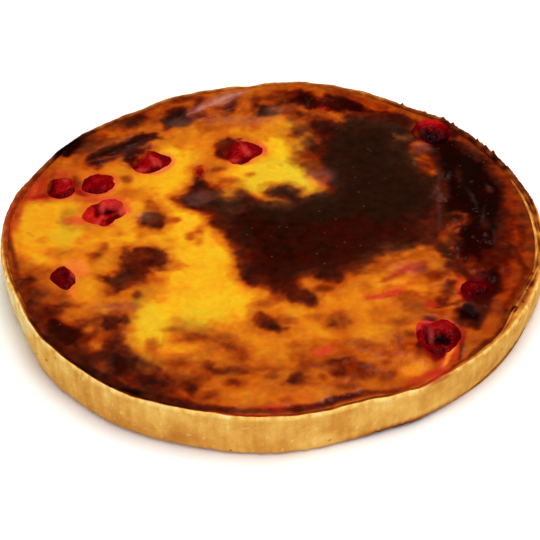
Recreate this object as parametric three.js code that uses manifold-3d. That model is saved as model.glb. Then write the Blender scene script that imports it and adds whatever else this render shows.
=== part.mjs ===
// A family-size cherry flan: a shallow pastry case filled to the brim with baked egg custard, with whole
// cherries sunk in it. Millimetres, +Z up. The origin is at the middle of the underside. +X is to the
// right and +Y away from the person the flan is served to.
import * as THREE from "three";
import { mergeVertices } from "three/addons/utils/BufferGeometryUtils.js";
import Module from "manifold-3d";

const wasm = await Module();
wasm.setup();

// ---- driving dimensions -------------------------------------------------------------------------

const RIM_RADIUS = 136.6;
const WALL_HEIGHT = 23;
const FLOOR_THICKNESS = 4;
const LIP_THICKNESS = 3.2;
const FIT_GAP = 0.35;
const POCKET_GAP = 0.4;

const CASE_SEGMENTS = 104;
const SKIN_CELLS = 40;
const CHERRY_SEGMENTS = 12;
const CHERRY_ROWS = 8;

// The rim is a hand-pressed round: how it sways in and out by waves round the turn, and where it is
// dented or bulged. Bearings and spreads are in degrees, from +X towards +Y.
const RIM_WAVES = [
  { count: 2, sine: 1.9, cosine: 0 },
  { count: 4, sine: -0.9, cosine: 0.5 },
];
const RIM_DENTS = [
  { bearing: 240, spread: 14, size: 1.0 },
  { bearing: 288, spread: 12, size: -0.9 },
  { bearing: 127, spread: 12, size: -0.8 },
  { bearing: 57, spread: 10, size: -1.9 },
  { bearing: 80, spread: 16, size: 1.3 },
  { bearing: 156, spread: 12, size: -1.4 },
  { bearing: 205, spread: 14, size: -1.2 },
  { bearing: 316, spread: 24, size: 1.4 },
  { bearing: 270, spread: 16, size: 0.99 },
];

// The lip sways up and down, has a nick at the front and two rises at the back, and is wider along
// the right side.
const LIP_WAVES = [
  { count: 3, sine: 0.2, cosine: 0.15 },
  { count: 7, sine: -0.07, cosine: 0.19 },
];
const LIP_DENTS = [
  { bearing: 300, spread: 3.2, size: -0.8 },
  { bearing: 80, spread: 16, size: 1.1 },
  { bearing: 113, spread: 9, size: 1.0 },
];
const LIP_WIDENING = { bearing: -4, spread: 48, size: 2.2 };

// The outside of the wall, from the foot up: how far it stands out from the rim, and the height.
const WALL_OUTSIDE = [
  { out: -3.4, z: 0 },
  { out: -1.8, z: 0.3 },
  { out: -0.8, z: 1.2 },
  { out: -0.2, z: 3.0 },
  { out: 0.4, z: 8 },
  { out: 0.6, z: 13 },
  { out: 0.4, z: 18 },
  { out: 0, z: 21.8 },
  { out: -0.4, z: 22.7 },
  { out: -1.1, z: WALL_HEIGHT },
];

// The top of the lip, from its middle inwards: how far it stands in from the inner edge, and the height.
const LIP_INSIDE = [
  { inset: -1.0, z: WALL_HEIGHT - 0.1 },
  { inset: -0.2, z: WALL_HEIGHT - 0.6 },
];

// The inside of the wall: height above the table, and how far it stands in from the lip's inner edge.
const WALL_INSIDE = [
  { z: FLOOR_THICKNESS, inset: 6.5 },
  { z: 7, inset: 2.2 },
  { z: 11, inset: 0.9 },
  { z: 21.6, inset: 0 },
];

// How far the custard's edge stays below the lip, how its shoulder rises inside that edge, how far in
// it follows the lip's sway, and the slow waves of the skin.
const EDGE_DROP = 1.3;
const SHOULDER_RISE = 1.0;
const SHOULDER_WIDTH = 7;
const LIP_FOLLOW = 40;
const SKIN_WAVE = { height: 0.35, lengthX: 17, shiftX: 1.3, lengthY: 21, shiftY: -0.4 };

// Long blisters of custard skin: the ends of the crest, half the width, and the height.
const BLISTERS = [
  { from: [-97, 61], to: [-66, 82], halfWidth: 9, height: 2.6 },
  { from: [-46, 104], to: [-20, 122], halfWidth: 9, height: 2.6 },
  { from: [77, 78], to: [84, 40], halfWidth: 7, height: 1.2 },
  { from: [72, -26], to: [60, -36], halfWidth: 7, height: 1.0 },
  { from: [78, -98], to: [81, -108], halfWidth: 7, height: 1.6 },
];

// Rounded swellings and hollows: the middle, half sizes, the turn in degrees, and the height.
const SWELLINGS = [
  { at: [18, 122], half: [34, 16], turn: -8, height: 2.0 },
  { at: [44, 10], half: [60, 46], turn: 30, height: 1.1 },
  { at: [-65, -26], half: [17, 20], turn: 20, height: 0.9 },
  { at: [-76, -70], half: [16, 18], turn: 0, height: 1.0 },
  { at: [-30, 26], half: [24, 18], turn: -20, height: 0.8 },
  { at: [95, -64], half: [10, 12], turn: 0, height: -2.4 },
  { at: [-128, 32], half: [12, 26], turn: -12, height: -1.5 },
  { at: [-20, -45], half: [26, 44], turn: 10, height: -0.6 },
  { at: [-52, 92], half: [15, 13], turn: 20, height: -0.8 },
];

// The blistered band burnt along the right side: where its lumps sit, and their size.
const LUMPS = {
  count: 11,
  radius: 101,
  start: 44,
  step: -7.4,
  sway: 7.5,
  half: 11,
  height: 1.5,
};

// The cherries: the middle in plan, half sizes, turn in degrees, half height, and how far the middle
// lies below the custard's skin. Small ones are mostly covered by the skin.
const CHERRIES = [
  { at: [-64.5, 61], half: [11.3, 11.3], turn: 0, halfHeight: 6.2, sink: 4.0 },
  { at: [-16, 70.5], half: [12.0, 11.8], turn: 20, halfHeight: 6.4, sink: 4.1 },
  { at: [-91, 41], half: [10.0, 9.9], turn: 0, halfHeight: 5.6, sink: 3.8 },
  { at: [-110.5, 37.5], half: [8.6, 10.6], turn: 12, halfHeight: 5.4, sink: 3.8 },
  { at: [-85.5, 16], half: [12.2, 11.6], turn: 10, halfHeight: 6.4, sink: 4.2 },
  { at: [-102, -36.5], half: [6.2, 10.0], turn: 20, halfHeight: 5.0, sink: 3.6 },
  { at: [86, 87.5], half: [10.8, 10.6], turn: 0, halfHeight: 6.6, sink: 2.8 },
  { at: [78, -80], half: [11.8, 12.4], turn: 0, halfHeight: 6.4, sink: 4.0 },
  { at: [98, -45], half: [8.4, 8.0], turn: 30, halfHeight: 5.2, sink: 3.8 },
  { at: [58.5, -47.5], half: [6.6, 4.6], turn: 25, halfHeight: 3.8, sink: 2.6 },
  { at: [28, 113], half: [5.8, 5.4], turn: 0, halfHeight: 4.0, sink: 2.8 },
  { at: [-38, 53], half: [4.6, 6.6], turn: -15, halfHeight: 3.8, sink: 2.6 },
];
const CHERRY_SQUARENESS = 2.5;
const CHERRY_DIMPLE = 1.2;
const CHERRY_DIMPLE_SPREAD = 0.3;

// The custard sinks a little round each cherry, out to this many times the cherry's half size.
const CRATER_DEPTH = 1.6;
const CRATER_REACH = 1.55;

// A cherry's broad wrinkles, as shares of its half size.
const CHERRY_WRINKLES = [
  { count: 3, size: 0.035 },
  { count: 5, size: 0.02 },
];

// Burnt flakes that stand on the outer edge of the rim at the back right: their bearing in degrees,
// and their length along the rim, width and height.
const FLAKES = [
  { bearing: 58, size: [3.4, 1.8, 3.0] },
  { bearing: 45.5, size: [7.0, 2.0, 2.2] },
  { bearing: 36, size: [3.6, 1.8, 2.0] },
  { bearing: 31, size: [6.4, 2.0, 2.4] },
  { bearing: 10.8, size: [4.6, 2.2, 1.8] },
];

const FLAKE_INSET = 1.1;

const CRUST_FINISH = new THREE.MeshStandardMaterial({ color: 0xe0b060, roughness: 0.72, metalness: 0 });
const CUSTARD_FINISH = new THREE.MeshStandardMaterial({ color: 0xe08a1c, roughness: 0.45, metalness: 0 });
const CHERRY_FINISH = new THREE.MeshStandardMaterial({ color: 0x8c0c18, roughness: 0.3, metalness: 0 });

// ---- curves shared by the pieces ----------------------------------------------------------------

const radians = THREE.MathUtils.degToRad;

// A smooth bump: 1 in the middle, 0 from a distance of 1 outwards.
function bump(distance) {
  const rest = Math.max(0, 1 - distance * distance);
  return rest * rest;
}

// A bump along the rim, around a bearing in degrees.
function bumpAt(bearing, middle, spread) {
  const turn = Math.atan2(Math.sin(bearing - radians(middle)), Math.cos(bearing - radians(middle)));
  return bump(turn / radians(spread));
}

function waveSum(bearing, waves) {
  return waves.reduce((sum, { count, sine, cosine }) => {
    return sum + sine * Math.sin(count * bearing) + cosine * Math.cos(count * bearing);
  }, 0);
}

function dentSum(bearing, dents) {
  return dents.reduce((sum, dent) => sum + dent.size * bumpAt(bearing, dent.bearing, dent.spread), 0);
}

function rimRadius(bearing) {
  return RIM_RADIUS + waveSum(bearing, RIM_WAVES) + dentSum(bearing, RIM_DENTS);
}

function lipLift(bearing) {
  return waveSum(bearing, LIP_WAVES) + dentSum(bearing, LIP_DENTS);
}

function lipThickness(bearing) {
  return LIP_THICKNESS + dentSum(bearing, [LIP_WIDENING]);
}

// How far the inside of the wall stands in from the lip's inner edge at a height.
function wallInset(z) {
  const upper = WALL_INSIDE.findIndex((level) => level.z >= z);
  if (upper < 0) return 0;
  if (upper === 0) return WALL_INSIDE[0].inset;
  const low = WALL_INSIDE[upper - 1];
  const high = WALL_INSIDE[upper];
  return THREE.MathUtils.mapLinear(z, low.z, high.z, low.inset, high.inset);
}

function insideRadius(bearing, z) {
  return rimRadius(bearing) - lipThickness(bearing) - wallInset(z);
}

function distanceToSegment(x, y, from, to) {
  const [ax, ay] = from;
  const [bx, by] = to;
  const length2 = (bx - ax) ** 2 + (by - ay) ** 2;
  const along = THREE.MathUtils.clamp(((x - ax) * (bx - ax) + (y - ay) * (by - ay)) / length2, 0, 1);
  return Math.hypot(x - ax - along * (bx - ax), y - ay - along * (by - ay));
}

function distanceInEllipse(x, y, at, half, turn) {
  const c = Math.cos(radians(turn));
  const s = Math.sin(radians(turn));
  const dx = x - at[0];
  const dy = y - at[1];
  return Math.hypot((dx * c + dy * s) / half[0], (dy * c - dx * s) / half[1]);
}

// The custard's skin, without the hollows round the cherries.
function skinHeight(x, y) {
  const bearing = Math.atan2(y, x);
  const edge = insideRadius(bearing, WALL_HEIGHT);
  const inward = Math.max(0, edge - Math.hypot(x, y));
  const { height, lengthX, shiftX, lengthY, shiftY } = SKIN_WAVE;
  let z = WALL_HEIGHT - EDGE_DROP + lipLift(bearing) * bump(inward / LIP_FOLLOW);
  z += SHOULDER_RISE * Math.sin((Math.PI / 2) * Math.min(1, inward / SHOULDER_WIDTH));
  z += height * Math.sin(x / lengthX + shiftX) * Math.cos(y / lengthY + shiftY);
  for (const blister of BLISTERS) {
    z += blister.height * bump(distanceToSegment(x, y, blister.from, blister.to) / blister.halfWidth);
  }
  for (const swelling of SWELLINGS) {
    z += swelling.height * bump(distanceInEllipse(x, y, swelling.at, swelling.half, swelling.turn));
  }
  for (let i = 0; i < LUMPS.count; i += 1) {
    const place = radians(LUMPS.start + i * LUMPS.step);
    const reach = LUMPS.radius + LUMPS.sway * (i % 2 === 0 ? 1 : -1);
    const away = Math.hypot(x - reach * Math.cos(place), y - reach * Math.sin(place));
    z += LUMPS.height * bump(away / LUMPS.half);
  }
  return z;
}

function bakedHeight(x, y) {
  const away = CHERRIES.map(({ at, half, turn }) => distanceInEllipse(x, y, at, half, turn));
  return skinHeight(x, y) - CRATER_DEPTH * bump(Math.min(...away) / CRATER_REACH);
}

// ---- closed meshes and solids -------------------------------------------------------------------

// Joins the doubled vertices of a three.js geometry and leaves out triangles that have no area.
function weld(geometry) {
  geometry.deleteAttribute("normal");
  geometry.deleteAttribute("uv");
  const merged = mergeVertices(geometry, 1e-4);
  const index = merged.getIndex().array;
  const kept = [];
  for (let i = 0; i < index.length; i += 3) {
    const [a, b, c] = [index[i], index[i + 1], index[i + 2]];
    if (a !== b && b !== c && c !== a) kept.push(a, b, c);
  }
  merged.setIndex(kept);
  return merged;
}

function moveVertices(geometry, place) {
  const position = geometry.getAttribute("position");
  const point = new THREE.Vector3();
  for (let i = 0; i < position.count; i += 1) {
    point.fromBufferAttribute(position, i);
    place(point);
    position.setXYZ(i, point.x, point.y, point.z);
  }
  return geometry;
}

function solid(geometry) {
  const vertProperties = new Float32Array(geometry.getAttribute("position").array);
  const triVerts = new Uint32Array(geometry.getIndex().array);
  return new wasm.Manifold(new wasm.Mesh({ numProp: 3, vertProperties, triVerts }));
}

function meshOf(name, body, material) {
  const { vertProperties, triVerts } = body.getMesh();
  const geometry = new THREE.BufferGeometry();
  geometry.setAttribute("position", new THREE.BufferAttribute(vertProperties, 3));
  geometry.setIndex(new THREE.BufferAttribute(triVerts, 1));
  geometry.computeVertexNormals();
  const mesh = new THREE.Mesh(geometry, material);
  mesh.name = name;
  return mesh;
}

// ---- the cherries -------------------------------------------------------------------------------

// A cherry baked soft: a squashed, slightly square round with a stem dimple and a few broad wrinkles.
function cherrySolid(cherry, order, grow) {
  const [halfX, halfY] = cherry.half;
  const middle = skinHeight(...cherry.at) - cherry.sink;
  const c = Math.cos(radians(cherry.turn));
  const s = Math.sin(radians(cherry.turn));
  const round = new THREE.SphereGeometry(1, CHERRY_SEGMENTS, CHERRY_ROWS).rotateX(Math.PI / 2);
  const shaped = moveVertices(weld(round), (p) => {
    const plan = Math.hypot(p.x, p.y);
    const side = Math.atan2(p.y, p.x);
    const wrinkle = CHERRY_WRINKLES.reduce((sum, w) => sum + w.size * Math.sin(w.count * side + order), 1);
    const power = CHERRY_SQUARENESS;
    const square = (plan ** power + Math.abs(p.z) ** power) ** (-1 / power);
    const dimple = p.z > 0 ? CHERRY_DIMPLE * Math.exp(-((plan / CHERRY_DIMPLE_SPREAD) ** 2)) : 0;
    const x = p.x * square * wrinkle * (halfX + grow);
    const y = p.y * square * wrinkle * (halfY + grow);
    const z = p.z * square * (cherry.halfHeight + grow) - (grow > 0 ? 0 : dimple);
    p.set(cherry.at[0] + x * c - y * s, cherry.at[1] + x * s + y * c, middle + z);
  });
  return solid(shaped);
}

const cherryBodies = CHERRIES.map((cherry, order) => cherrySolid(cherry, order, 0));
const pockets = wasm.Manifold.union(CHERRIES.map((cherry, order) => cherrySolid(cherry, order, POCKET_GAP)));

// ---- the pastry case ----------------------------------------------------------------------------

// One burnt flake of pastry, a low pointed ridge along the rim's outer edge.
function flakeSolid(flake) {
  const [length, width, height] = flake.size;
  const bearing = radians(flake.bearing);
  const radius = rimRadius(bearing) - FLAKE_INSET;
  const ridge = new THREE.OctahedronGeometry(1, 0);
  ridge.scale(width / 2, length / 2, height);
  ridge.rotateZ(bearing);
  ridge.translate(radius * Math.cos(bearing), radius * Math.sin(bearing), WALL_HEIGHT + lipLift(bearing));
  return solid(weld(ridge));
}

// The case is turned from one closed profile, then pushed out to the hand-pressed outline.
function caseSolid() {
  const innerEdge = RIM_RADIUS - LIP_THICKNESS;
  const outside = WALL_OUTSIDE.map(({ out, z }) => [RIM_RADIUS + out, z]);
  const inside = [...LIP_INSIDE, ...[...WALL_INSIDE].reverse()].map(({ inset, z }) => [innerEdge - inset, z]);
  const points = [[0, 0], ...outside, ...inside, [0, FLOOR_THICKNESS]];
  const profile = points.map(([r, z]) => new THREE.Vector2(r, z));
  const turned = weld(new THREE.LatheGeometry(profile, CASE_SEGMENTS).rotateX(Math.PI / 2));
  const shaped = moveVertices(turned, (p) => {
    const radius = Math.hypot(p.x, p.y);
    if (radius < 1) return;
    const bearing = Math.atan2(p.y, p.x);
    const isInside = p.z >= FLOOR_THICKNESS && radius < (innerEdge + RIM_RADIUS) / 2;
    const widening = isInside ? lipThickness(bearing) - LIP_THICKNESS : 0;
    const stretch = (radius + rimRadius(bearing) - RIM_RADIUS - widening) / radius;
    const high = THREE.MathUtils.smoothstep(p.z, WALL_HEIGHT * 0.6, WALL_HEIGHT * 0.9);
    p.set(p.x * stretch, p.y * stretch, p.z + lipLift(bearing) * high);
  });
  return wasm.Manifold.union([solid(shaped), ...FLAKES.map(flakeSolid)]).subtract(pockets);
}

// ---- the custard --------------------------------------------------------------------------------

// Spreads a square evenly over a disc, both from -1 to 1.
function squareToDisc(u, v) {
  if (u === 0 && v === 0) return { reach: 0, bearing: 0 };
  const wide = Math.abs(u) >= Math.abs(v);
  const reach = wide ? u : v;
  const turn = wide ? (Math.PI / 4) * (v / u) : Math.PI / 2 - (Math.PI / 4) * (u / v);
  return { reach: Math.abs(reach), bearing: reach < 0 ? turn + Math.PI : turn };
}

// Everything below the baked skin, wider and deeper than the case.
function belowSkin() {
  const block = new THREE.BoxGeometry(2, 2, 2, SKIN_CELLS, SKIN_CELLS, 1);
  const shaped = moveVertices(weld(block), (p) => {
    const { reach, bearing } = squareToDisc(p.x, p.y);
    const radius = reach * (insideRadius(bearing, WALL_HEIGHT) + FIT_GAP);
    const x = radius * Math.cos(bearing);
    const y = radius * Math.sin(bearing);
    p.set(x, y, p.z > 0 ? bakedHeight(x, y) : -WALL_HEIGHT);
  });
  return solid(shaped);
}

// The custard fits the inside of the case, with a small gap all round, up to its skin.
function custardSolid() {
  const bottom = FLOOR_THICKNESS + FIT_GAP;
  const levels = [bottom, WALL_INSIDE[1].z, WALL_INSIDE[2].z, WALL_INSIDE[3].z, 2 * WALL_HEIGHT];
  const points = [[0, bottom], ...levels.map((z) => [RIM_RADIUS, z]), [0, levels.at(-1)]];
  const profile = points.map(([r, z]) => new THREE.Vector2(r, z));
  const turned = weld(new THREE.LatheGeometry(profile, CASE_SEGMENTS).rotateX(Math.PI / 2));
  const shaped = moveVertices(turned, (p) => {
    if (Math.hypot(p.x, p.y) < 1) return;
    const bearing = Math.atan2(p.y, p.x);
    const radius = insideRadius(bearing, p.z) - FIT_GAP;
    p.set(radius * Math.cos(bearing), radius * Math.sin(bearing), p.z);
  });
  return solid(shaped).intersect(belowSkin()).subtract(pockets);
}

// ---- the whole flan -----------------------------------------------------------------------------

const flan = new THREE.Group();
flan.add(meshOf("crust", caseSolid(), CRUST_FINISH));
flan.add(meshOf("custard", custardSolid(), CUSTARD_FINISH));
cherryBodies.forEach((body, order) => {
  flan.add(meshOf(`cherry_${order + 1}`, body, CHERRY_FINISH));
});

export default flan;
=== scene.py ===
import math

import bmesh
import bpy
import numpy as np
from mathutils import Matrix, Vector


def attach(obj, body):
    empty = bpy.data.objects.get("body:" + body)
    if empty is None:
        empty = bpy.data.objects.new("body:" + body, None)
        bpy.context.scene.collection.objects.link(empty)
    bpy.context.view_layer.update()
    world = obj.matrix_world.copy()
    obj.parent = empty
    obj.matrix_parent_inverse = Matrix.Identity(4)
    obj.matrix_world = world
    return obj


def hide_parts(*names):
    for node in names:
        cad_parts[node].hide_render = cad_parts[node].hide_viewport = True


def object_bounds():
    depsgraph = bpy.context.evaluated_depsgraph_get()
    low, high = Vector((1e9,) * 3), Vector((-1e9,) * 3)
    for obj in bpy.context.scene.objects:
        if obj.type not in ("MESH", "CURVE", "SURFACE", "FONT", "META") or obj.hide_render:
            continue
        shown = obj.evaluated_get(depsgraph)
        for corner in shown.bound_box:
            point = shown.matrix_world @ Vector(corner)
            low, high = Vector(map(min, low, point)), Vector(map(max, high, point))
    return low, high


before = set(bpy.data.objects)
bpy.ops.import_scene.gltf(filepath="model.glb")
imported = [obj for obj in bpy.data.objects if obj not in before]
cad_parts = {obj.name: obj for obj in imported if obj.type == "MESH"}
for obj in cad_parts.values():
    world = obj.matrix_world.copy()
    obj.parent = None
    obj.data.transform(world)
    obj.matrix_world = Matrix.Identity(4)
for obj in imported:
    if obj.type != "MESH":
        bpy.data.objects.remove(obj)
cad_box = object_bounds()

# ---- The pastry case ----------------------------------------------------------------------------
# The case is shortcrust pastry a few millimetres thick, pressed by hand into a ring so that its rim
# sways a little, and baked gold outside. The lip is browned, and burnt to thin flakes at the back
# right. It carries the custard, and its sizes are the solid model's, in millimetres.

MM = 0.001
RIM_RADIUS = 136.6
WALL_HEIGHT = 23.0
FLOOR_THICKNESS = 4.0
LIP_THICKNESS = 3.2
CASE_STEPS = 1000
SPREAD_STEP = 1.1
LIP_STEP = 0.3

# Waves round the rim as (count, sine, cosine), and dents as (bearing, spread, size) in degrees.
RIM_WAVES = ((2, 1.9, 0.0), (4, -0.9, 0.5))
RIM_DENTS = (
    (240, 14, 1.0), (288, 12, -0.9), (127, 12, -0.8), (57, 10, -1.9), (80, 16, 1.3), (156, 12, -1.4),
    (205, 14, -1.2), (316, 24, 1.4), (270, 16, 0.99), (194, 22, -1.0), (297, 8, 0.9),
)
LIP_WAVES = ((3, 0.2, 0.15), (7, -0.07, 0.19))
LIP_DENTS = ((300, 3.2, -0.8), (80, 16, 1.1), (113, 9, 1.0), (297, 9, -1.1), (228, 12, 0.6), (305, 6, -0.9))
LIP_WIDENINGS = ((-4, 48, 2.2), (-25, 13, 3.0), (196, 24, 0.8))
# Where the wall draws in towards its foot.
FOOT_TUCKS = ((199, 26, 2.6), (326, 30, 3.2), (297, 8, 0.9))

# Outside of the wall as (out from the rim, height), and the inside as (height, inset).
WALL_OUTSIDE = (
    (-3.4, 0), (-1.8, 0.3), (-0.8, 1.2), (-0.2, 3), (0.4, 8), (0.6, 13), (0.4, 18), (0, 21.8),
    (-0.4, 22.7), (-1.1, 23),
)
LIP_INSIDE = ((-1.0, 22.9), (-0.2, 22.4))
WALL_INSIDE = ((4, 6.5), (7, 2.2), (11, 0.9), (21.6, 0))

# Burnt flakes along the outer edge: bearing, then length along the rim, width and height.
FLAKES = (
    (58, 3.0, 1.8, 2.0), (52, 2.4, 1.6, 1.2), (47, 5.0, 2.0, 1.6), (44, 3.0, 2.0, 1.8), (36, 3.0, 1.8, 1.6),
    (33, 2.0, 1.6, 1.2), (30, 5.0, 2.0, 1.8), (24, 2.6, 1.6, 1.0), (10.8, 4.0, 2.2, 1.4),
)
FLAKE_INSET = 1.1

# How brown the lip is by bearing, from 0 for pale gold to 1 for black, and the same for its outer edge.
LIP_BROWNING = (
    (-45, 0.36), (-38, 0.28), (-25, 0.36), (-12, 0.28), (0, 0.32), (10, 0.42), (22, 0.54), (30, 0.58), (40, 0.60), (50, 0.54),
    (58, 0.46), (75, 0.42), (100, 0.42), (115, 0.46), (126, 0.50), (139, 0.62), (143, 0.92), (149, 0.90),
    (153, 0.60), (165, 0.54), (180, 0.48), (190, 0.32), (204, 0.34), (214, 0.70), (230, 0.86), (250, 0.82), (263, 0.66),
    (285, 0.60), (296, 0.56), (304, 0.50), (315, 0.46),
)
# The outer edge is burnt at the back; its low values at the front paint a pale highlight along the wall's top.
EDGE_BROWNING_AND_HIGHLIGHT = (
    (-40, 0.12), (0, 0.14), (8, 0.36), (14, 0.66), (24, 0.70), (32, 0.90), (38, 0.70), (44, 0.90), (50, 0.60), (60, 0.46), (68, 0.40), (90, 0.36),
    (115, 0.44), (128, 0.50), (139, 0.62), (143, 0.88), (149, 0.86), (153, 0.60), (165, 0.52), (178, 0.44),
    (190, 0.10), (205, 0.04),
    (300, 0.08), (320, 0.12),
)
# The wall's browning by bearing, with painted light that makes its left side, near 185 to 205 degrees, paler.
WALL_BROWNING_AND_LIGHT = (
    (-60, 0.14), (-45, 0.15), (-30, 0.13), (0, 0.14), (90, 0.16), (150, 0.10), (185, -0.02), (205, 0.0), (216, 0.10), (235, 0.16),
    (255, 0.18), (270, 0.15), (283, 0.09), (290, 0.13),
)
# Burnt specks on the pastry as (x, y, size), on the lip and on the wall by (bearing, height, size).
LIP_SPECKS = ((127, -33.5, 1.3), (116, -59, 1.7), (120, -55, 0.8), (131, -4, 0.7), (123, -47, 0.6))
WALL_SPECKS = (
    (-37.0, 15.0, 1.0), (-37.8, 9.0, 0.7), (-38.7, 6.0, 0.9), (-32.0, 19.0, 0.6), (215.3, 10.0, 0.8),
    (219.5, 13.5, 0.9), (223.0, 20.0, 0.6), (262.0, 2.4, 0.7), (281.0, 5.0, 0.6),
)


def bump(distance):
    """1 in the middle and 0 from a distance of 1 outwards."""
    rest = np.maximum(0.0, 1.0 - distance * distance)
    return rest * rest


def ease(low, high, value):
    """Rises smoothly from 0 at low to 1 at high."""
    share = np.clip((value - low) / (high - low), 0.0, 1.0)
    return share * share * (3.0 - 2.0 * share)


def bump_at(bearing, middle, spread):
    """A bump along the rim, around a bearing in degrees."""
    turn = np.angle(np.exp(1j * (bearing - math.radians(middle))))
    return bump(turn / math.radians(spread))


def wave_sum(bearing, waves):
    return sum(sine * np.sin(count * bearing) + cosine * np.cos(count * bearing) for count, sine, cosine in waves)


def dent_sum(bearing, dents):
    return sum(size * bump_at(bearing, middle, spread) for middle, spread, size in dents)


def by_bearing(bearing, table):
    """Reads a table of (degrees, value) all the way round."""
    degrees = [row[0] for row in table]
    values = [row[1] for row in table]
    return np.interp(np.degrees(bearing), degrees, values, period=360.0)


def rim_radius(bearing):
    return RIM_RADIUS + wave_sum(bearing, RIM_WAVES) + dent_sum(bearing, RIM_DENTS)


def lip_lift(bearing):
    return wave_sum(bearing, LIP_WAVES) + dent_sum(bearing, LIP_DENTS)


def lip_thickness(bearing):
    return LIP_THICKNESS + dent_sum(bearing, LIP_WIDENINGS)


def inside_radius(bearing, z):
    inset = np.interp(z, [height for height, _ in WALL_INSIDE], [inset for _, inset in WALL_INSIDE])
    return rim_radius(bearing) - lip_thickness(bearing) - inset


LATTICE = 64


def mottle(u, v, seed, around=LATTICE):
    """A smooth random pattern from about -1 to 1 with one patch per unit, closed after so many units of u."""
    slopes = np.random.default_rng(seed).uniform(0.0, 2 * math.pi, (LATTICE * 16, LATTICE))
    column = np.floor(u).astype(int)
    row = np.floor(v).astype(int)
    total = np.zeros_like(u)
    for step_u in (0, 1):
        for step_v in (0, 1):
            slope = slopes[(column + step_u) % around, (row + step_v) % LATTICE]
            across = u - column - step_u
            along = v - row - step_v
            share = ease(0.0, 1.0, 1.0 - np.abs(across)) * ease(0.0, 1.0, 1.0 - np.abs(along))
            total = total + (np.cos(slope) * across + np.sin(slope) * along) * share
    return 1.7 * total


def round_wall(bearing, z, patch, stretch, seed):
    """The random pattern wrapped round the wall, in patches of so many millimetres, stretched upwards."""
    cells = round(2 * math.pi * RIM_RADIUS / patch)
    return mottle(np.mod(bearing, 2 * math.pi) / (2 * math.pi) * cells, z / (patch * stretch), seed, cells)


def mesh_arrays(mesh):
    """The mesh's vertices as x, y and z in millimetres."""
    flat = np.empty(len(mesh.vertices) * 3, np.float64)
    mesh.vertices.foreach_get("co", flat)
    return flat.reshape(-1, 3).T / MM


def place_vertices(mesh, x, y, z):
    mesh.vertices.foreach_set("co", (np.stack((x, y, z), axis=1) * MM).ravel())
    mesh.update()


def write_attribute(mesh, name, values):
    layer = mesh.attributes.new(name, "FLOAT", "POINT")
    layer.data.foreach_set("value", np.asarray(values, np.float32))


def linear(red, green, blue):
    """A colour as the eye reads it, 0 to 255, as the linear colour that a shader takes."""
    shares = [part / 255 for part in (red, green, blue)]
    return tuple(s / 12.92 if s <= 0.04045 else ((s + 0.055) / 1.055) ** 2.4 for s in shares) + (1.0,)


def new_finish(name):
    """A new node material, its node list, its links and its main shader."""
    finish = bpy.data.materials.new(name)
    finish.use_nodes = True
    tree = finish.node_tree
    return finish, tree.nodes, tree.links, tree.nodes["Principled BSDF"]


def colour_scale(nodes, links, value, stops):
    """Colours a value from 0 to 1 by stops of (place, colour)."""
    scale = nodes.new("ShaderNodeValToRGB")
    ramp = scale.color_ramp
    while len(ramp.elements) < len(stops):
        ramp.elements.new(1.0)
    for element, (place, colour) in zip(ramp.elements, stops):
        element.position = place
        element.color = linear(*colour)
    links.new(value, scale.inputs["Fac"])
    return scale.outputs["Color"]


def read_attribute(nodes, name):
    reader = nodes.new("ShaderNodeAttribute")
    reader.attribute_name = name
    return reader.outputs["Fac"]


def sum_up(nodes, links, operation, first, second, third=None, clamp=False):
    """One Math node on sockets or plain numbers."""
    maths = nodes.new("ShaderNodeMath")
    maths.operation = operation
    maths.use_clamp = clamp
    for socket, value in zip(maths.inputs, (first, second, third)):
        if value is None:
            continue
        if isinstance(value, (int, float)):
            socket.default_value = value
        else:
            links.new(value, socket)
    return maths.outputs["Value"]


def blend_colours(nodes, links, share, first, second):
    mixer = nodes.new("ShaderNodeMix")
    mixer.data_type = "RGBA"
    links.new(share, mixer.inputs["Factor"])
    for socket, value in ((mixer.inputs["A"], first), (mixer.inputs["B"], second)):
        if isinstance(value, tuple):
            socket.default_value = value
        else:
            links.new(value, socket)
    return mixer.outputs["Result"]


def speckle(nodes, links, patch, upwards=1.0, detail=2.0, sideways=1.0):
    """Noise in patches of so many millimetres, longer upwards or sideways, on object coordinates."""
    place = nodes.new("ShaderNodeTexCoord")
    mapping = nodes.new("ShaderNodeMapping")
    across = 1 / (patch * sideways * MM)
    mapping.inputs["Scale"].default_value = (across, 1 / (patch * MM), 1 / (patch * upwards * MM))
    links.new(place.outputs["Object"], mapping.inputs["Vector"])
    noise = nodes.new("ShaderNodeTexNoise")
    noise.inputs["Scale"].default_value = 1.0
    noise.inputs["Detail"].default_value = detail
    links.new(mapping.outputs["Vector"], noise.inputs["Vector"])
    return noise.outputs["Fac"]


def roughen(nodes, links, shader, layers):
    """Bump from layers of (height socket, strength, depth in millimetres)."""
    normal = None
    for height, strength, depth in layers:
        bumps = nodes.new("ShaderNodeBump")
        bumps.inputs["Strength"].default_value = strength
        bumps.inputs["Distance"].default_value = depth * MM
        links.new(height, bumps.inputs["Height"])
        if normal is not None:
            links.new(normal, bumps.inputs["Normal"])
        normal = bumps.outputs["Normal"]
    links.new(normal, shader.inputs["Normal"])


def make_piece(name, bm, finish):
    """Turns a bmesh into a smooth shaded piece that rides on the flan."""
    mesh = bpy.data.meshes.new(name)
    bm.to_mesh(mesh)
    bm.free()
    mesh.shade_smooth()
    mesh.materials.append(finish)
    piece = bpy.data.objects.new(name, mesh)
    bpy.context.scene.collection.objects.link(piece)
    return piece


def soften(points):
    """Cuts the corners of an open line once, and keeps its two ends."""
    smoother = [points[0]]
    for (r1, z1), (r2, z2) in zip(points, points[1:]):
        smoother.append((0.75 * r1 + 0.25 * r2, 0.75 * z1 + 0.25 * z2))
        smoother.append((0.25 * r1 + 0.75 * r2, 0.25 * z1 + 0.75 * z2))
    return smoother + [points[-1]]


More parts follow.
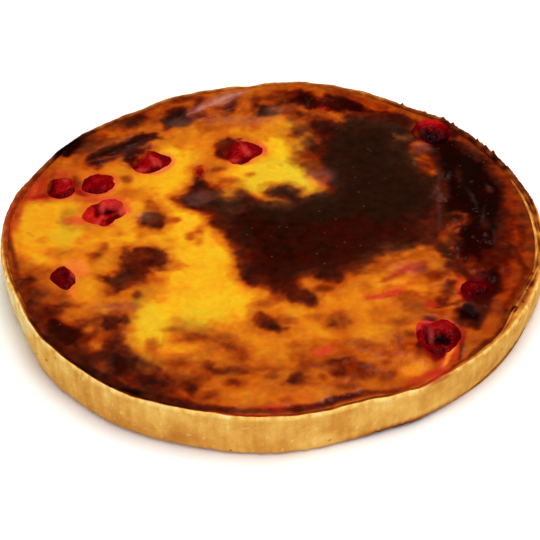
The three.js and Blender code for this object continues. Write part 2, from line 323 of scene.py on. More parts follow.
def spread_out(points, step):
    """Puts points along a line, none further apart than the step."""
    spaced = [points[0]]
    for (r1, z1), (r2, z2) in zip(points, points[1:]):
        pieces = max(1, math.ceil(math.hypot(r2 - r1, z2 - z1) / step))
        spaced += [(r1 + (r2 - r1) * i / pieces, z1 + (z2 - z1) * i / pieces) for i in range(1, pieces + 1)]
    return spaced


def spin_case():
    """Spins the case's closed section round the upright axis."""
    inner_edge = RIM_RADIUS - LIP_THICKNESS
    outside = [(RIM_RADIUS + out, z) for out, z in WALL_OUTSIDE]
    lip = [(inner_edge - inset, z) for inset, z in LIP_INSIDE]
    inside = [(inner_edge - inset, z) for z, inset in reversed(WALL_INSIDE)]
    shown = spread_out(soften(outside + lip[:1]), SPREAD_STEP * 0.8) + spread_out(lip + inside[:1], LIP_STEP)[1:]
    section = [(0.0, 0.0), (90.0, 0.0)] + shown + inside[1:] + [(90.0, FLOOR_THICKNESS), (0.0, FLOOR_THICKNESS)]
    bm = bmesh.new()
    corners = [bm.verts.new((r * MM, 0.0, z * MM)) for r, z in section]
    edges = [bm.edges.new(pair) for pair in zip(corners, corners[1:])]
    bmesh.ops.spin(
        bm, geom=corners + edges, cent=(0, 0, 0), axis=(0, 0, 1), angle=2 * math.pi, steps=CASE_STEPS,
        use_merge=True,
    )
    bmesh.ops.remove_doubles(bm, verts=bm.verts[:], dist=0.02 * MM)
    bmesh.ops.recalc_face_normals(bm, faces=bm.faces[:])
    return bm


def shape_case(mesh):
    """Pushes the turned case out to the hand-pressed outline, with its dents, flakes and crumb."""
    x, y, z = mesh_arrays(mesh)
    radius = np.hypot(x, y)
    bearing = np.arctan2(y, x)
    inner_edge = RIM_RADIUS - LIP_THICKNESS
    inward = np.clip((RIM_RADIUS - 1.0 - radius) / (LIP_THICKNESS - 1.0), 0.0, 1.0) * (z >= FLOOR_THICKNESS)
    widening = inward * (lip_thickness(bearing) - LIP_THICKNESS)
    outer_side = ease(inner_edge, RIM_RADIUS - 1.5, radius)
    moved = radius + rim_radius(bearing) - RIM_RADIUS - widening
    # Low dents of the fingers, finer crumb, and shallow upright drags from the knife and the tin.
    dents = 0.34 * round_wall(bearing, z, 15.0, 1.3, 11) + 0.16 * round_wall(bearing, z, 5.5, 2.0, 12)
    crumb = 0.10 * round_wall(bearing, z, 2.4, 1.0, 13) + 0.07 * round_wall(bearing, z, 1.6, 5.0, 14)
    foot = 1.0 - ease(2.0, 6.0, z)
    ragged_foot = 0.35 * foot * round_wall(bearing, z, 3.4, 4.0, 15)
    tuck = dent_sum(bearing, FOOT_TUCKS) * (1.0 - z / WALL_HEIGHT)
    pushed = (dents + crumb - 0.10 + ragged_foot - tuck) * outer_side
    moved = np.where(radius > 100.0, moved + pushed, moved)
    high = ease(WALL_HEIGHT * 0.6, WALL_HEIGHT * 0.9, z)
    lift = lip_lift(bearing) * high
    # Flakes: pointed ridges on the rim's outer edge, and a torn edge between them.
    across = (moved - rim_radius(bearing) + FLAKE_INSET) / 1.0
    top = ease(WALL_HEIGHT - 1.4, WALL_HEIGHT - 0.4, z)
    for middle, length, width, height in FLAKES:
        along = np.angle(np.exp(1j * (bearing - math.radians(middle)))) * moved
        tent = 1.0 - np.abs(along) / (length / 2) - np.abs(across) / (width / 2 + 0.5)
        lift = lift + top * height * np.maximum(0.0, tent)
    torn = bump_at(bearing, 36, 34) * np.maximum(0.0, 0.25 + round_wall(bearing, z * 0, 2.2, 1.0, 16))
    lift = lift + top * bump(across / 1.3) * 0.9 * torn
    lift = lift + top * (0.16 * round_wall(bearing, radius, 4.5, 1.0, 17) + 0.08 * round_wall(bearing, radius, 1.8, 1.0, 18))
    lift = lift + top * 0.7 * round_wall(bearing, 0 * radius, 13.0, 1.0, 19)
    scale = np.where(radius > 1.0, moved / np.maximum(radius, 1e-6), 1.0)
    place_vertices(mesh, x * scale, y * scale, np.clip(z + lift, 0.0, cad_box[1][2] / MM))
    return radius, bearing, z, moved


def brown_and_light_case(mesh, radius, bearing, z, moved):
    """Writes how brown, how juicy and how floury the pastry is at every point, with its painted light and shade."""
    out = moved - rim_radius(bearing)
    up_wall = z / WALL_HEIGHT
    # The wall's browning, with painted light on its left side; at the front left it is darker low and paler high.
    wall = by_bearing(bearing, WALL_BROWNING_AND_LIGHT) + 0.03 + 0.10 * bump_at(bearing, 232, 44) * (0.5 - up_wall) + 0.06 * round_wall(bearing, z, 12.0, 1.0, 21)
    wall = wall + 0.03 * round_wall(bearing, z, 3.4, 5.0, 22) + 0.03 * round_wall(bearing, z, 5.0, 1.0, 23)
    # Darker towards the foot all round, and much darker low down near bearing 297.
    wall = wall + 0.10 * (1 - ease(0.0, 2.0, z)) + 0.50 * bump_at(bearing, 297, 17) * (1 - ease(0.5, 6.0, z))
    wall = wall + 0.10 * bump_at(bearing, 283, 5) * ease(3.0, 9.0, z)
    lip = by_bearing(bearing, LIP_BROWNING) + 0.13 * round_wall(bearing, moved, 5.0, 1.0, 24)
    lip = lip + bump_at(bearing, 38, 34) * (0.10 + 0.24 * round_wall(bearing, radius, 8.0, 1.0, 29))
    edge = by_bearing(bearing, EDGE_BROWNING_AND_HIGHLIGHT) + 0.12 * round_wall(bearing, radius, 3.0, 1.0, 25)
    on_lip = ease(WALL_HEIGHT - 1.6, WALL_HEIGHT - 0.5, z) * ease(-0.9, -1.5, out)
    on_edge = ease(WALL_HEIGHT - 2.6, WALL_HEIGHT - 1.0, z) * (1 - on_lip)
    # At the wall's top the edge is burnt at the back and, at the front, paler than the wall: a painted highlight.
    brown_and_light = wall * (1 - on_edge) + np.maximum(edge, wall * 0.4) * on_edge
    brown_and_light = brown_and_light * (1 - on_lip) + lip * on_lip
    # Where the lip meets the custard: painted shade, with a painted highlight near 8 degrees and deeper shade near 199
    # and -31.
    inner = ease(1.4, 0.4, moved - inside_radius(bearing, WALL_HEIGHT)) * ease(WALL_HEIGHT - 3.0, WALL_HEIGHT - 1.2, z)
    inner_highlight_and_shade = bump_at(bearing, 8, 24) * 0.9 - 0.7 * (bump_at(bearing, 199, 20) + bump_at(bearing, -31, 24))
    brown_and_light = brown_and_light + inner * (0.10 - 0.32 * inner_highlight_and_shade)
    # Along the wide right lip: brown cracks that follow the rim.
    wander = 0.5 * round_wall(bearing, 0 * radius, 9.0, 1.0, 27)
    on_right = np.minimum(1.0, 1.6 * bump_at(bearing, -8, 42)) * on_lip * (0.7 + 0.6 * round_wall(bearing, 0 * radius, 7.0, 1.0, 28))
    spread = bump_at(bearing, -25, 16)
    outer_crack = bump((out + 1.9 + 2.4 * spread + wander) / 0.9)
    inner_crack = bump((out + 3.4 + 2.8 * spread + wander) / 1.0)
    brown_and_light = brown_and_light + on_right * (0.46 * outer_crack + 0.40 * inner_crack)
    brown_and_light = brown_and_light + 0.34 * bump_at(bearing, 199, 22) * on_lip * bump((out + 2.4 + 0.4 * wander) / 0.7)
    x = moved * np.cos(bearing)
    y = moved * np.sin(bearing)
    for speck_x, speck_y, size in LIP_SPECKS:
        near = bump(np.hypot(x - speck_x, y - speck_y) / (size * 1.5)) * (z > WALL_HEIGHT - 3)
        brown_and_light = np.maximum(brown_and_light, 0.92 * near)
    for degrees, height, size in WALL_SPECKS:
        along = np.angle(np.exp(1j * (bearing - math.radians(degrees)))) * moved
        near = bump(np.hypot(along, z - height) / (size * 1.4)) * (moved > 120)
        brown_and_light = np.maximum(brown_and_light, 0.62 * near)
    flour = np.maximum(0.0, round_wall(bearing, z, 2.2, 1.2, 26) - 0.62) * 2.2 * (1 - on_edge) * (1 - on_lip)
    juice = 0.55 * on_lip * bump_at(bearing, 174, 22) + 0.7 * on_lip * (bump_at(bearing, 267, 12) + bump_at(bearing, 304, 12)) + 0.8 * on_edge * bump_at(bearing, 304.5, 5)
    write_attribute(mesh, "brown_and_light", np.clip(brown_and_light, 0.0, 1.0))
    write_attribute(mesh, "flour", np.clip(flour, 0.0, 1.0))
    write_attribute(mesh, "juice", np.clip(juice, 0.0, 1.0))


PASTRY_COLOURS = (
    (0.00, (252, 226, 160)), (0.05, (247, 209, 128)), (0.11, (238, 184, 88)), (0.22, (217, 151, 63)), (0.34, (187, 115, 42)),
    (0.48, (151, 76, 22)), (0.62, (109, 43, 11)), (0.78, (60, 17, 5)), (0.92, (23, 7, 3)), (1.00, (9, 3, 2)),
)
FLOUR_COLOUR = (250, 222, 158)
PASTRY_JUICE = (168, 26, 14)


def pastry_finish():
    finish, nodes, links, shader = new_finish("pastry")
    # Browning with painted light and shade: the pale top edge, the lines at the lip's inner edge and the paler left
    # wall.
    brown_and_light = read_attribute(nodes, "brown_and_light")
    drags = speckle(nodes, links, 2.6, 8.0, 2.0)
    crumb = speckle(nodes, links, 1.2, 1.0, 3.0)
    baking = speckle(nodes, links, 8.0, 1.0, 3.0)
    tone = sum_up(nodes, links, "MULTIPLY_ADD", sum_up(nodes, links, "SUBTRACT", drags, 0.5), 0.10, brown_and_light)
    tone = sum_up(nodes, links, "MULTIPLY_ADD", sum_up(nodes, links, "SUBTRACT", crumb, 0.5), 0.10, tone)
    tone = sum_up(nodes, links, "MULTIPLY_ADD", sum_up(nodes, links, "SUBTRACT", baking, 0.5), 0.15, tone, True)
    colour = colour_scale(nodes, links, tone, PASTRY_COLOURS)
    flour = sum_up(nodes, links, "MULTIPLY", read_attribute(nodes, "flour"), 0.6)
    colour = blend_colours(nodes, links, flour, colour, linear(*FLOUR_COLOUR))
    colour = blend_colours(nodes, links, read_attribute(nodes, "juice"), colour, linear(*PASTRY_JUICE))
    links.new(colour, shader.inputs["Base Color"])
    rough = sum_up(nodes, links, "MULTIPLY_ADD", crumb, 0.25, 0.55)
    links.new(rough, shader.inputs["Roughness"])
    shader.inputs["Specular IOR Level"].default_value = 0.01
    roughen(nodes, links, shader, ((crumb, 0.35, 0.25), (drags, 0.25, 0.3)))
    return finish


pastry_case = make_piece("pastry_case", spin_case(), pastry_finish())
brown_and_light_case(pastry_case.data, *shape_case(pastry_case.data))
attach(pastry_case, "root")
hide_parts("crust")

# ---- The custard --------------------------------------------------------------------------------
# Egg custard, baked to the brim. Its skin is yellow where it stayed cool and orange, brown and black
# where the oven caught it, with blisters, a lumpy burnt band along the right, and hollows round the
# cherries. It is poured in, so it fills the case to its wall.

FIT_GAP = 0.35
SKIN_CELLS = 296
EDGE_DROP = 1.3
SHOULDER_RISE = 1.0
SHOULDER_WIDTH = 7.0
LIP_FOLLOW = 40.0

# Long blisters as (from x, y, to x, y, half width, height), swellings and hollows as (x, y, half x,
# half y, turn, height).
BLISTERS = (
    (-97, 61, -66, 82, 9, 2.6), (-46, 104, -20, 122, 9, 2.6), (77, 78, 84, 40, 7, 1.2),
    (72, -26, 60, -36, 7, 1.0), (78, -98, 81, -108, 7, 1.6),
)
SWELLINGS = (
    (18, 122, 34, 16, -8, 2.0), (44, 10, 60, 46, 30, 1.1), (-65, -26, 17, 20, 20, 0.9),
    (-76, -70, 16, 18, 0, 1.0), (-30, 26, 24, 18, -20, 0.8), (95, -64, 10, 12, 0, -2.4),
    (-128, 32, 12, 26, -12, -1.5), (-20, -45, 26, 44, 10, -0.6), (-52, 92, 15, 13, 20, -0.8),
)
LUMP_COUNT = 11
LUMP_RADIUS = 101.0
LUMP_START = 44.0
LUMP_STEP = -7.4
LUMP_SWAY = 7.5
LUMP_HALF = 11.0
LUMP_HEIGHT = 1.5
CRATER_DEPTH = 1.6
CRATER_REACH = 1.55
SIGHT_SLOPE = 1.256

# The cherries, because the skin sinks round them: x, y, half x, half y, turn, half height, sink.
CHERRIES = (
    (-64.5, 61, 11.3, 11.3, 0, 6.2, 4.0), (-16, 70.5, 12.0, 11.8, 20, 6.4, 4.1),
    (-91, 41, 10.0, 9.9, 0, 5.6, 3.8), (-110.5, 37.5, 8.6, 10.6, 12, 5.4, 3.8),
    (-85.5, 16, 12.2, 11.6, 10, 6.4, 4.2), (-102, -36.5, 6.2, 10.0, 20, 5.0, 3.6),
    (86, 87.5, 10.8, 10.6, 0, 6.6, 2.8), (78, -80, 11.8, 12.4, 0, 6.4, 4.0),
    (98, -45, 8.4, 8.0, 30, 5.2, 3.8), (58.5, -47.5, 6.6, 4.6, 25, 3.8, 2.6),
    (28, 113, 5.8, 5.4, 0, 4.0, 2.8), (-38, 53, 4.6, 6.6, -15, 3.8, 2.6),
)


def to_segment(x, y, from_x, from_y, to_x, to_y):
    """The distance from a stretch of line."""
    run_x = to_x - from_x
    run_y = to_y - from_y
    along = np.clip(((x - from_x) * run_x + (y - from_y) * run_y) / (run_x**2 + run_y**2), 0.0, 1.0)
    return np.hypot(x - from_x - along * run_x, y - from_y - along * run_y)


def in_ellipse(x, y, middle_x, middle_y, half_x, half_y, turn):
    """The distance from the middle of an ellipse, 1 on its outline."""
    c = math.cos(math.radians(turn))
    s = math.sin(math.radians(turn))
    across = (x - middle_x) * c + (y - middle_y) * s
    along = (y - middle_y) * c - (x - middle_x) * s
    return np.hypot(across / half_x, along / half_y)


def skin_height(x, y):
    """The custard's skin without the hollows round the cherries, as in the solid."""
    bearing = np.arctan2(y, x)
    inward = np.maximum(0.0, inside_radius(bearing, WALL_HEIGHT) - np.hypot(x, y))
    z = WALL_HEIGHT - EDGE_DROP + lip_lift(bearing) * bump(inward / LIP_FOLLOW)
    z = z + SHOULDER_RISE * np.sin(math.pi / 2 * np.minimum(1.0, inward / SHOULDER_WIDTH))
    z = z + 0.35 * np.sin(x / 17 + 1.3) * np.cos(y / 21 - 0.4)
    for from_x, from_y, to_x, to_y, half, height in BLISTERS:
        z = z + height * bump(to_segment(x, y, from_x, from_y, to_x, to_y) / half)
    for middle_x, middle_y, half_x, half_y, turn, height in SWELLINGS:
        z = z + height * bump(in_ellipse(x, y, middle_x, middle_y, half_x, half_y, turn))
    for i in range(LUMP_COUNT):
        place = math.radians(LUMP_START + i * LUMP_STEP)
        reach = LUMP_RADIUS + LUMP_SWAY * (1 if i % 2 == 0 else -1)
        z = z + LUMP_HEIGHT * bump(np.hypot(x - reach * math.cos(place), y - reach * math.sin(place)) / LUMP_HALF)
    return z


def from_cherry(x, y):
    """The distance from the nearest cherry, 1 on its outline."""
    return np.min([in_ellipse(x, y, *cherry[:5]) for cherry in CHERRIES], axis=0)


# Browning is painted in the order that the oven made it: first the ring along the rim, then broad
# soft grounds, then blotches, then the big scorch and the burnt blisters. Tones run from 0, black,
# to 200, the palest yellow. The ring is (bearing, tone) and (bearing, width).
RIM_TONES = (
    (0, 66), (20, 62), (35, 60), (48, 75), (60, 105), (75, 95), (90, 108), (105, 105), (118, 96),
    (128, 78), (138, 64), (145, 60), (152, 95), (160, 112), (170, 125), (185, 130), (192, 108), (200, 80),
    (210, 60), (220, 54), (232, 54), (245, 62), (255, 88), (265, 108), (275, 114), (290, 106), (300, 110),
    (315, 96), (328, 84), (340, 74), (352, 68),
)
RIM_WIDTHS = (
    (0, 20), (40, 18), (55, 12), (75, 16), (90, 20), (118, 20), (138, 16), (160, 12), (175, 5),
    (188, 8), (200, 18), (215, 24), (235, 22), (255, 20), (275, 20), (300, 20), (328, 20),
)
# Places are either blots, as x, y, half x, half y and turn, or outlines, as points. Each list holds
# (tone, soft edge in mm, then the places). First the broad grounds, yellow to orange.
GROUNDS = (
    (180, 11, (
        (-58, 72), (-45, 74), (-42, 62), (-44, 44), (-53, 32), (-50, 20), (-38, 12), (-36, 4), (-30, 2),
        (-24, -8), (-21, -18), (-20, -32), (-15, -44), (-5, -48), (-10, -58), (-14, -68), (-30, -72),
        (-46, -70), (-50, -77), (-44, -87), (-40, -93), (-60, -91), (-66, -82), (-65, -60), (-54, -52),
        (-54, -42), (-58, -34), (-48, -28), (-52, -18), (-50, -10), (-52, -2), (-48, 8), (-56, 22),
        (-62, 34), (-66, 46),
    )),
    (184, 8, (
        (-28, 58), (-14, 60), (-4, 66), (-6, 78), (2, 84), (8, 76), (9, 62), (16, 56), (18, 48), (22, 42),
        (20, 34), (14, 36), (8, 41), (0, 38), (-6, 30), (-14, 34), (-20, 42), (-26, 50),
    )),
    (168, 8, (
        (-128, 22), (-118, 24), (-104, 26), (-98, 24), (-102, 16), (-106, 6), (-100, 2), (-92, -2),
        (-84, -6), (-92, -14), (-100, -14), (-112, -18), (-110, -26), (-116, -28), (-126, -18), (-130, -8),
        (-129, 10),
    )),
    (170, 8, ((-84, 0), (-70, -1), (-56, -4), (-54, -10), (-66, -9), (-76, -11), (-84, -8))),
    (190, 6, (-43, 11, 7, 8, 0), (-74, 8, 7, 6, 0)),
    (168, 6, (-70, 20, 4, 9, 20), (-79, -12, 4, 4, 0), (-89, -43, 4, 5, 0), (-74, 10, 6, 8, -30), (-6, 65, 5, 6, -40)),
    (174, 6, (-82, 38, 3, 6, 0), (-103, 31, 5, 4, 0), (-46, -86, 5, 4, 0), (-66, 44, 7, 6, 0), (-40, 42, 5, 4, 0)),
    (156, 6, (-103, 52, 5, 5, 0), (28, 99, 5, 4, 0), (-60, -26, 2, 2, 0)),
    (152, 6, ((-97, -40), (-88, -38), (-84, -46), (-80, -54), (-92, -56), (-97, -53), (-99, -46))),
    (145, 6, (
        (32, -56), (40, -50), (45, -55), (44, -60), (48, -65), (52, -70), (54, -81), (44, -80), (33, -80),
        (38, -74), (37, -64),
    )),
    (150, 5, (
        (5, -60), (14, -60), (18, -64), (14, -66), (12, -70), (20, -72), (28, -78), (27, -86), (20, -82),
        (14, -80), (16, -76), (10, -70),
    )),
    (130, 8, (
        (40, -38), (52, -32), (58, -22), (76, -16), (82, -26), (80, -40), (78, -44), (70, -52), (60, -60),
        (68, -66), (56, -70), (58, -84), (50, -84), (46, -60),
    )),
    (118, 7, (
        (-62, 90), (-45, 92), (-38, 86), (-20, 90), (-8, 87), (-4, 98), (-6, 102), (-12, 110), (-16, 114),
        (-30, 104), (-45, 97), (-60, 95),
    )),
    (145, 6, ((-8, 88), (2, 84), (8, 88), (6, 96), (-2, 97))),
    (116, 6, ((-80, 91), (-68, 97), (-64, 92), (-66, 88), (-80, 86), (-88, 82), (-90, 88))),
    (120, 6, ((-113, 48), (-112, 60), (-106, 66), (-101, 62), (-96, 55), (-104, 48), (-108, 46))),
    (146, 5, ((-105, 54), (-100, 56), (-95, 51), (-100, 47), (-105, 50))),
    (118, 7, (
        (-44, -94), (-30, -90), (-28, -78), (-20, -80), (-8, -90), (-4, -100), (-10, -104), (-20, -100),
        (-34, -98), (-46, -102), (-62, -94),
    )),
    (142, 5, ((-9, -81), (2, -82), (3, -86), (0, -90), (3, -95), (-3, -94), (-6, -88), (-8, -86))),
    (118, 6, ((-97, -62), (-92, -58), (-86, -62), (-86, -68), (-91, -72), (-98, -68), (-101, -62))),
    (112, 8, ((-118, -30), (-104, -30), (-100, -44), (-98, -54), (-104, -54), (-112, -44))),
    (132, 7, ((-30, -119), (-24, -115), (0, -118), (20, -117), (32, -120), (14, -128), (-10, -128), (-28, -125))),
    (106, 7, ((30, -84), (46, -83), (56, -88), (54, -98), (42, -94), (24, -98), (12, -102), (8, -92), (16, -84))),
    (158, 6, ((58, -108), (62, -102), (66, -99), (72, -99), (73, -104), (70, -108), (62, -111))),
    (116, 5, ((24, 104), (28, 109), (33, 108), (38, 101), (34, 98), (25, 99))),
    (102, 5, ((101, -66), (108, -64), (106, -70), (102, -78), (94, -84), (90, -88), (92, -79), (98, -76))),
    (76, 10, (
        (10, 62), (12, 70), (17, 77), (20, 84), (14, 92), (14, 100), (12, 108), (22, 112), (36, 98),
        (34, 60), (30, 40), (24, 44), (18, 50), (14, 58),
    )),
)
